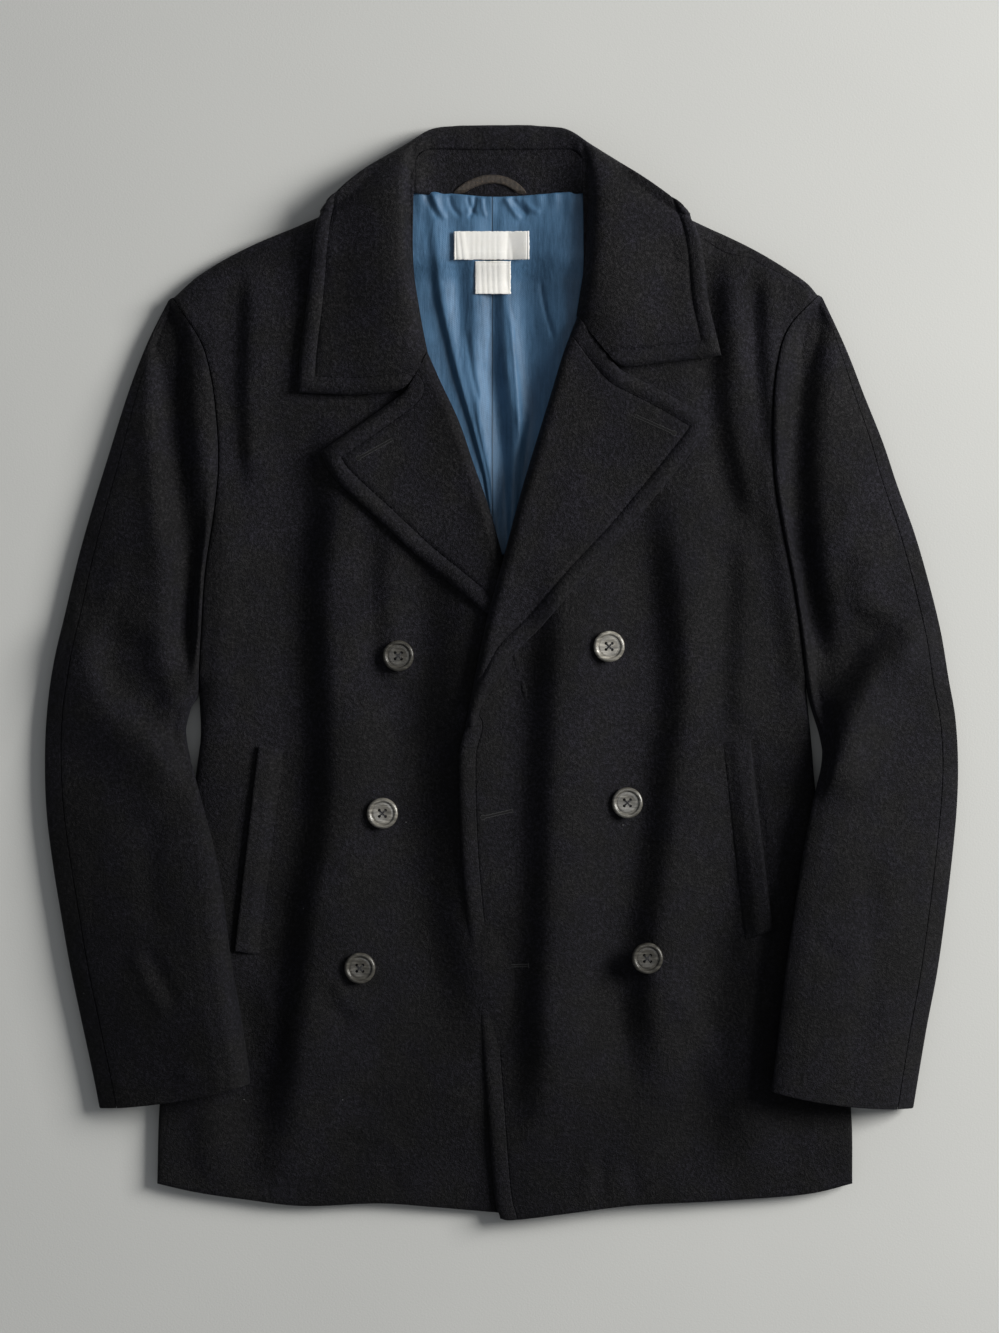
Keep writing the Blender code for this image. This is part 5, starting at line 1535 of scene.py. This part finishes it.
def makeButton(name, front, x, y, finish):
    half = buttons["across"] / 2
    turns = np.linspace(0.0, math.tau, buttons["seatPoints"] + 1)
    foot = half - buttons["profile"][0][0]
    seat = front.top(np.append(x + foot * np.cos(turns), x), np.append(y + foot * np.sin(turns), y)).max()
    seat += buttons["clear"]
    disc = bmesh.new()
    profile = [(0.0, 0.0)] + [(half - inset, z) for inset, z in buttons["profile"]]
    profile.append((0.0, buttons["middle"]))
    verts = [disc.verts.new((r * mm, 0.0, z * mm)) for r, z in profile]
    edges = [disc.edges.new(pair) for pair in zip(verts, verts[1:])]
    turn = {"cent": (0, 0, 0), "axis": (0, 0, 1), "angle": math.tau, "steps": buttons["steps"]}
    bmesh.ops.spin(disc, geom=verts + edges, use_merge=True, **turn)
    bmesh.ops.remove_doubles(disc, verts=disc.verts, dist=1e-6)
    bmesh.ops.recalc_face_normals(disc, faces=disc.faces)
    shift = (x * mm, (y + centreY) * mm, seat * mm)
    bmesh.ops.translate(disc, verts=disc.verts, vec=shift)
    button = finishPiece(name, disc, finish)
    drill = bmesh.new()
    for quarter in range(4):
        angle = math.pi / 4 + quarter * math.pi / 2
        radius, depth = buttons["hole"] / 2 * mm, buttons["drill"] * mm
        size = {"segments": buttons["holeSides"], "radius1": radius, "radius2": radius, "depth": depth}
        made = bmesh.ops.create_cone(drill, cap_ends=True, **size)
        out = buttons["fromMiddle"] * mm
        place = (shift[0] + out * math.cos(angle), shift[1] + out * math.sin(angle), shift[2])
        bmesh.ops.translate(drill, verts=made["verts"], vec=place)
    cutter = finishPiece(name + "Drill", drill, darkThread)
    cut = button.modifiers.new("holes", "BOOLEAN")
    cut.operation = "DIFFERENCE"
    cut.object = cutter
    settle(button)
    bpy.data.objects.remove(cutter)
    button.data.set_sharp_from_angle(angle=math.radians(buttons["sharp"]))
    return button, makeButtonThread(name + "Thread", shift)


def settle(piece):  # keeps what the modifiers make
    mesh = finalMesh(piece)
    piece.modifiers.clear()
    old = piece.data
    piece.data = mesh
    bpy.data.meshes.remove(old)
    mesh.name = piece.name


def cordMesh(name, paths, radius, material, sides=3):  # round threads along rows of points in metres
    curve = bpy.data.curves.new(name, "CURVE")
    curve.dimensions = "3D"
    curve.bevel_depth = radius
    curve.bevel_resolution = sides
    curve.use_fill_caps = True
    for path in paths:
        spline = curve.splines.new("POLY")
        spline.points.add(len(path) - 1)
        for point, place in zip(spline.points, path):
            point.co = (*place, 1.0)
    draft = placed(name + "Draft", curve)
    mesh = finalMesh(draft)
    bpy.data.objects.remove(draft)
    bpy.data.curves.remove(curve)
    mesh.name = name
    mesh.materials.clear()
    mesh.materials.append(material)
    mesh.shade_smooth()
    return placed(name, mesh)


def makeButtonThread(name, shift):  # two crossed stitches through the four holes, laid three times
    paths = []
    for diagonal in (math.pi / 4, 3 * math.pi / 4):
        for strand in buttons["strands"]:
            path = []
            for s in np.linspace(-1.0, 1.0, 15):
                out = s * buttons["fromMiddle"]
                height = buttons["strandTop"] - buttons["strandDrop"] * abs(s) ** 6
                side = strand * (0.7 + 0.3 * (1 - s * s))
                px = out * math.cos(diagonal) - side * math.sin(diagonal)
                py = out * math.sin(diagonal) + side * math.cos(diagonal)
                path.append((shift[0] + px * mm, shift[1] + py * mm, shift[2] + height * mm))
            paths.append(path)
    return cordMesh(name, paths, buttons["strand"] * mm, darkThread)


for side, front in (("right", frontRight), ("left", frontLeft)):
    for number, (x, y, paintedLightFactor) in enumerate(buttons[side], 1):
        finish = hornFinish(f"hornWithPaintedLight{side}{number}", paintedLightFactor, horn["turn"][side])
        button, stitch = makeButton(f"{side}Button{number}", front, x, y, finish)
        dress(button, "horn", f"button_{side}_{number}")
        dress(stitch, "wool")
print("buttons made")


# Buttonholes: a slit with a round eye, edged with close stitches and closed by a bar

buttonholes = {
    "eye": 1.5,
    "slit": 0.45,
    "slitLift": 0.12,  # of its dark face, a painted shadow, over the cloth
    "slitWall": 0.3,
    "lips": 0.95,  # from the middle of the slit to its row of stitches
    "lipsFrom": 2.0,  # from the middle of the eye
    "eyeStitches": 0.3,  # their row lies this far outside the eye
    "bar": 1.7,  # half its length
    "barFrom": 0.3,  # from the slit's far end
    "thread": 0.22,
    "places": [  # eye, far end, and what it is sewn in
        ("frontHole1", (-14, -109), (8, -104), frontLeft),
        ("frontHole2", (-3, -222), (20, -221), frontLeft),
        ("rightLapelHole", (-108, 162), (-83, 176), lapelRight),
        ("leftLapelHole", (130, 181), (101, 194), lapelLeft),
    ],
}


def makeButtonhole(name, eye, end, carrier):
    eye, end = np.array(eye, float), np.array(end, float)
    run = (end - eye) / np.linalg.norm(end - eye)
    side = np.array([-run[1], run[0]])
    long = np.linalg.norm(end - eye)
    ring = buttonholes["eye"] + buttonholes["eyeStitches"]
    start = math.asin(buttonholes["lips"] / ring)
    around = [(math.cos(a) * ring, math.sin(a) * ring) for a in np.linspace(start, math.tau - start, 22)]
    top = [(s, buttonholes["lips"]) for s in np.linspace(long, buttonholes["lipsFrom"], 26)]
    low = [(s, -buttonholes["lips"]) for s in np.linspace(buttonholes["lipsFrom"], long, 26)]
    half = buttonholes["bar"]
    bar = np.array([(long + buttonholes["barFrom"], s) for s in np.linspace(-half, half, 7)])
    outline = np.array(top + around + low)

    def lift(points, height):
        flat = eye + points[:, :1] * run + points[:, 1:] * side
        z = carrier.top(flat[:, 0], flat[:, 1]) + height
        return placeOf(np.column_stack([flat, z]))

    rows = [lift(outline, 0.1), lift(bar, 0.2)]
    stitches = cordMesh(name, rows, buttonholes["thread"] * mm, holeThread)
    u = np.linspace(0, 1, 31)[None, :]
    across = np.linspace(-1, 1, 7)[:, None]
    s = -buttonholes["eye"] + (long + buttonholes["eye"]) * u
    half = np.where(s < buttonholes["eye"], np.sqrt(np.clip(buttonholes["eye"] ** 2 - s**2, 0.01, None)), 0.0)
    half = np.maximum(half, buttonholes["slit"] * smooth(-0.5, 0.5, s))
    spot = eye + s[..., None] * run + (half * across)[..., None] * side
    x, y = spot[..., 0], spot[..., 1]
    top = carrier.top(x, y) + buttonholes["slitLift"]
    noRim = np.full(top.shape, 9.0)  # its edge keeps its full wall
    # a near-black sheet on the cloth that paints the shadow inside the slit, which is not cut
    slit = laidWall(name + "Slit", x, y, top, top - buttonholes["slitWall"], noRim, slitShadowFinish)
    dress(stitches, "wool")
    dress(slit, "wool")


for name, eye, end, carrier in buttonholes["places"]:
    makeButtonhole(name, eye, end, carrier)
print("buttonholes made")


# Floor, light and camera

floor = {
    "half": 4.0,  # metres
    "height": -0.0003,
    "tones": [(0.3, (0.585, 0.590, 0.575)), (0.7, (0.615, 0.620, 0.603))],
    "cloud": 3.0,
    "grain": 700.0,
    "roughness": 0.9,
}


def makeFloor():
    material, tree, shader = newMaterial("paleFloor", floor["tones"][1][1], floor["roughness"])
    spot = placeIn(tree)
    cloud = noiseOf(tree, spot, floor["cloud"], 3.0, 0.5, "cloud")
    tree.links.new(ramp(tree, cloud, floor["tones"]), shader.inputs["Base Color"])
    bumpFrom(tree, shader, noiseOf(tree, spot, floor["grain"], 2.0, 0.6, "grain"), 0.00015, 0.5)
    plane = bmesh.new()
    bmesh.ops.create_grid(plane, x_segments=1, y_segments=1, size=floor["half"])
    bmesh.ops.translate(plane, verts=plane.verts, vec=(0, 0, floor["height"]))
    mesh = bpy.data.meshes.new("floor")
    plane.to_mesh(mesh)
    plane.free()
    mesh.materials.append(material)
    placed("floor", mesh)


makeFloor()

# Name, place, size, power, colour
lights = [
    ("keyLight", (2.92, 0.92, 1.70), 1.55, 178.0, (1.0, 0.985, 0.95)),
    ("card", (0.30, 0.25, 3.2), 1.1, 10.0, (1.0, 1.0, 1.0)),
]


def makeLight(name, place, size, power, colour):
    light = bpy.data.lights.new(name, "AREA")
    light.shape = "SQUARE"
    light.size = size
    light.energy = power
    light.color = colour
    lamp = placed(name, light)
    lamp.location = place
    aim = -lamp.location.normalized()
    lamp.rotation_euler = aim.to_track_quat("-Z", "Y").to_euler()
    lamp.visible_diffuse = name != "card"  # the card lights only what shines


for settings in lights:
    makeLight(*settings)
world = bpy.data.worlds.new("studio")
world.use_nodes = True
sky = world.node_tree.nodes["Background"]
sky.inputs["Color"].default_value = (0.93, 0.96, 1.0, 1.0)
sky.inputs["Strength"].default_value = 0.2
bpy.context.scene.world = world
bpy.context.scene.view_settings.view_transform = "Standard"

viewer = {"place": (-1.52 * mm, 5.04 * mm, 3.0), "frameHeight": 1.01308, "sensor": 36.0}
camera = bpy.data.cameras.new("viewer")
camera.sensor_fit = "VERTICAL"
camera.sensor_height = viewer["sensor"]
camera.lens = viewer["sensor"] * viewer["place"][2] / viewer["frameHeight"]
camera.clip_end = 20.0
viewerPiece = placed("viewer", camera)
viewerPiece.location = viewer["place"]
bpy.context.scene.camera = viewerPiece

print("scene ready")
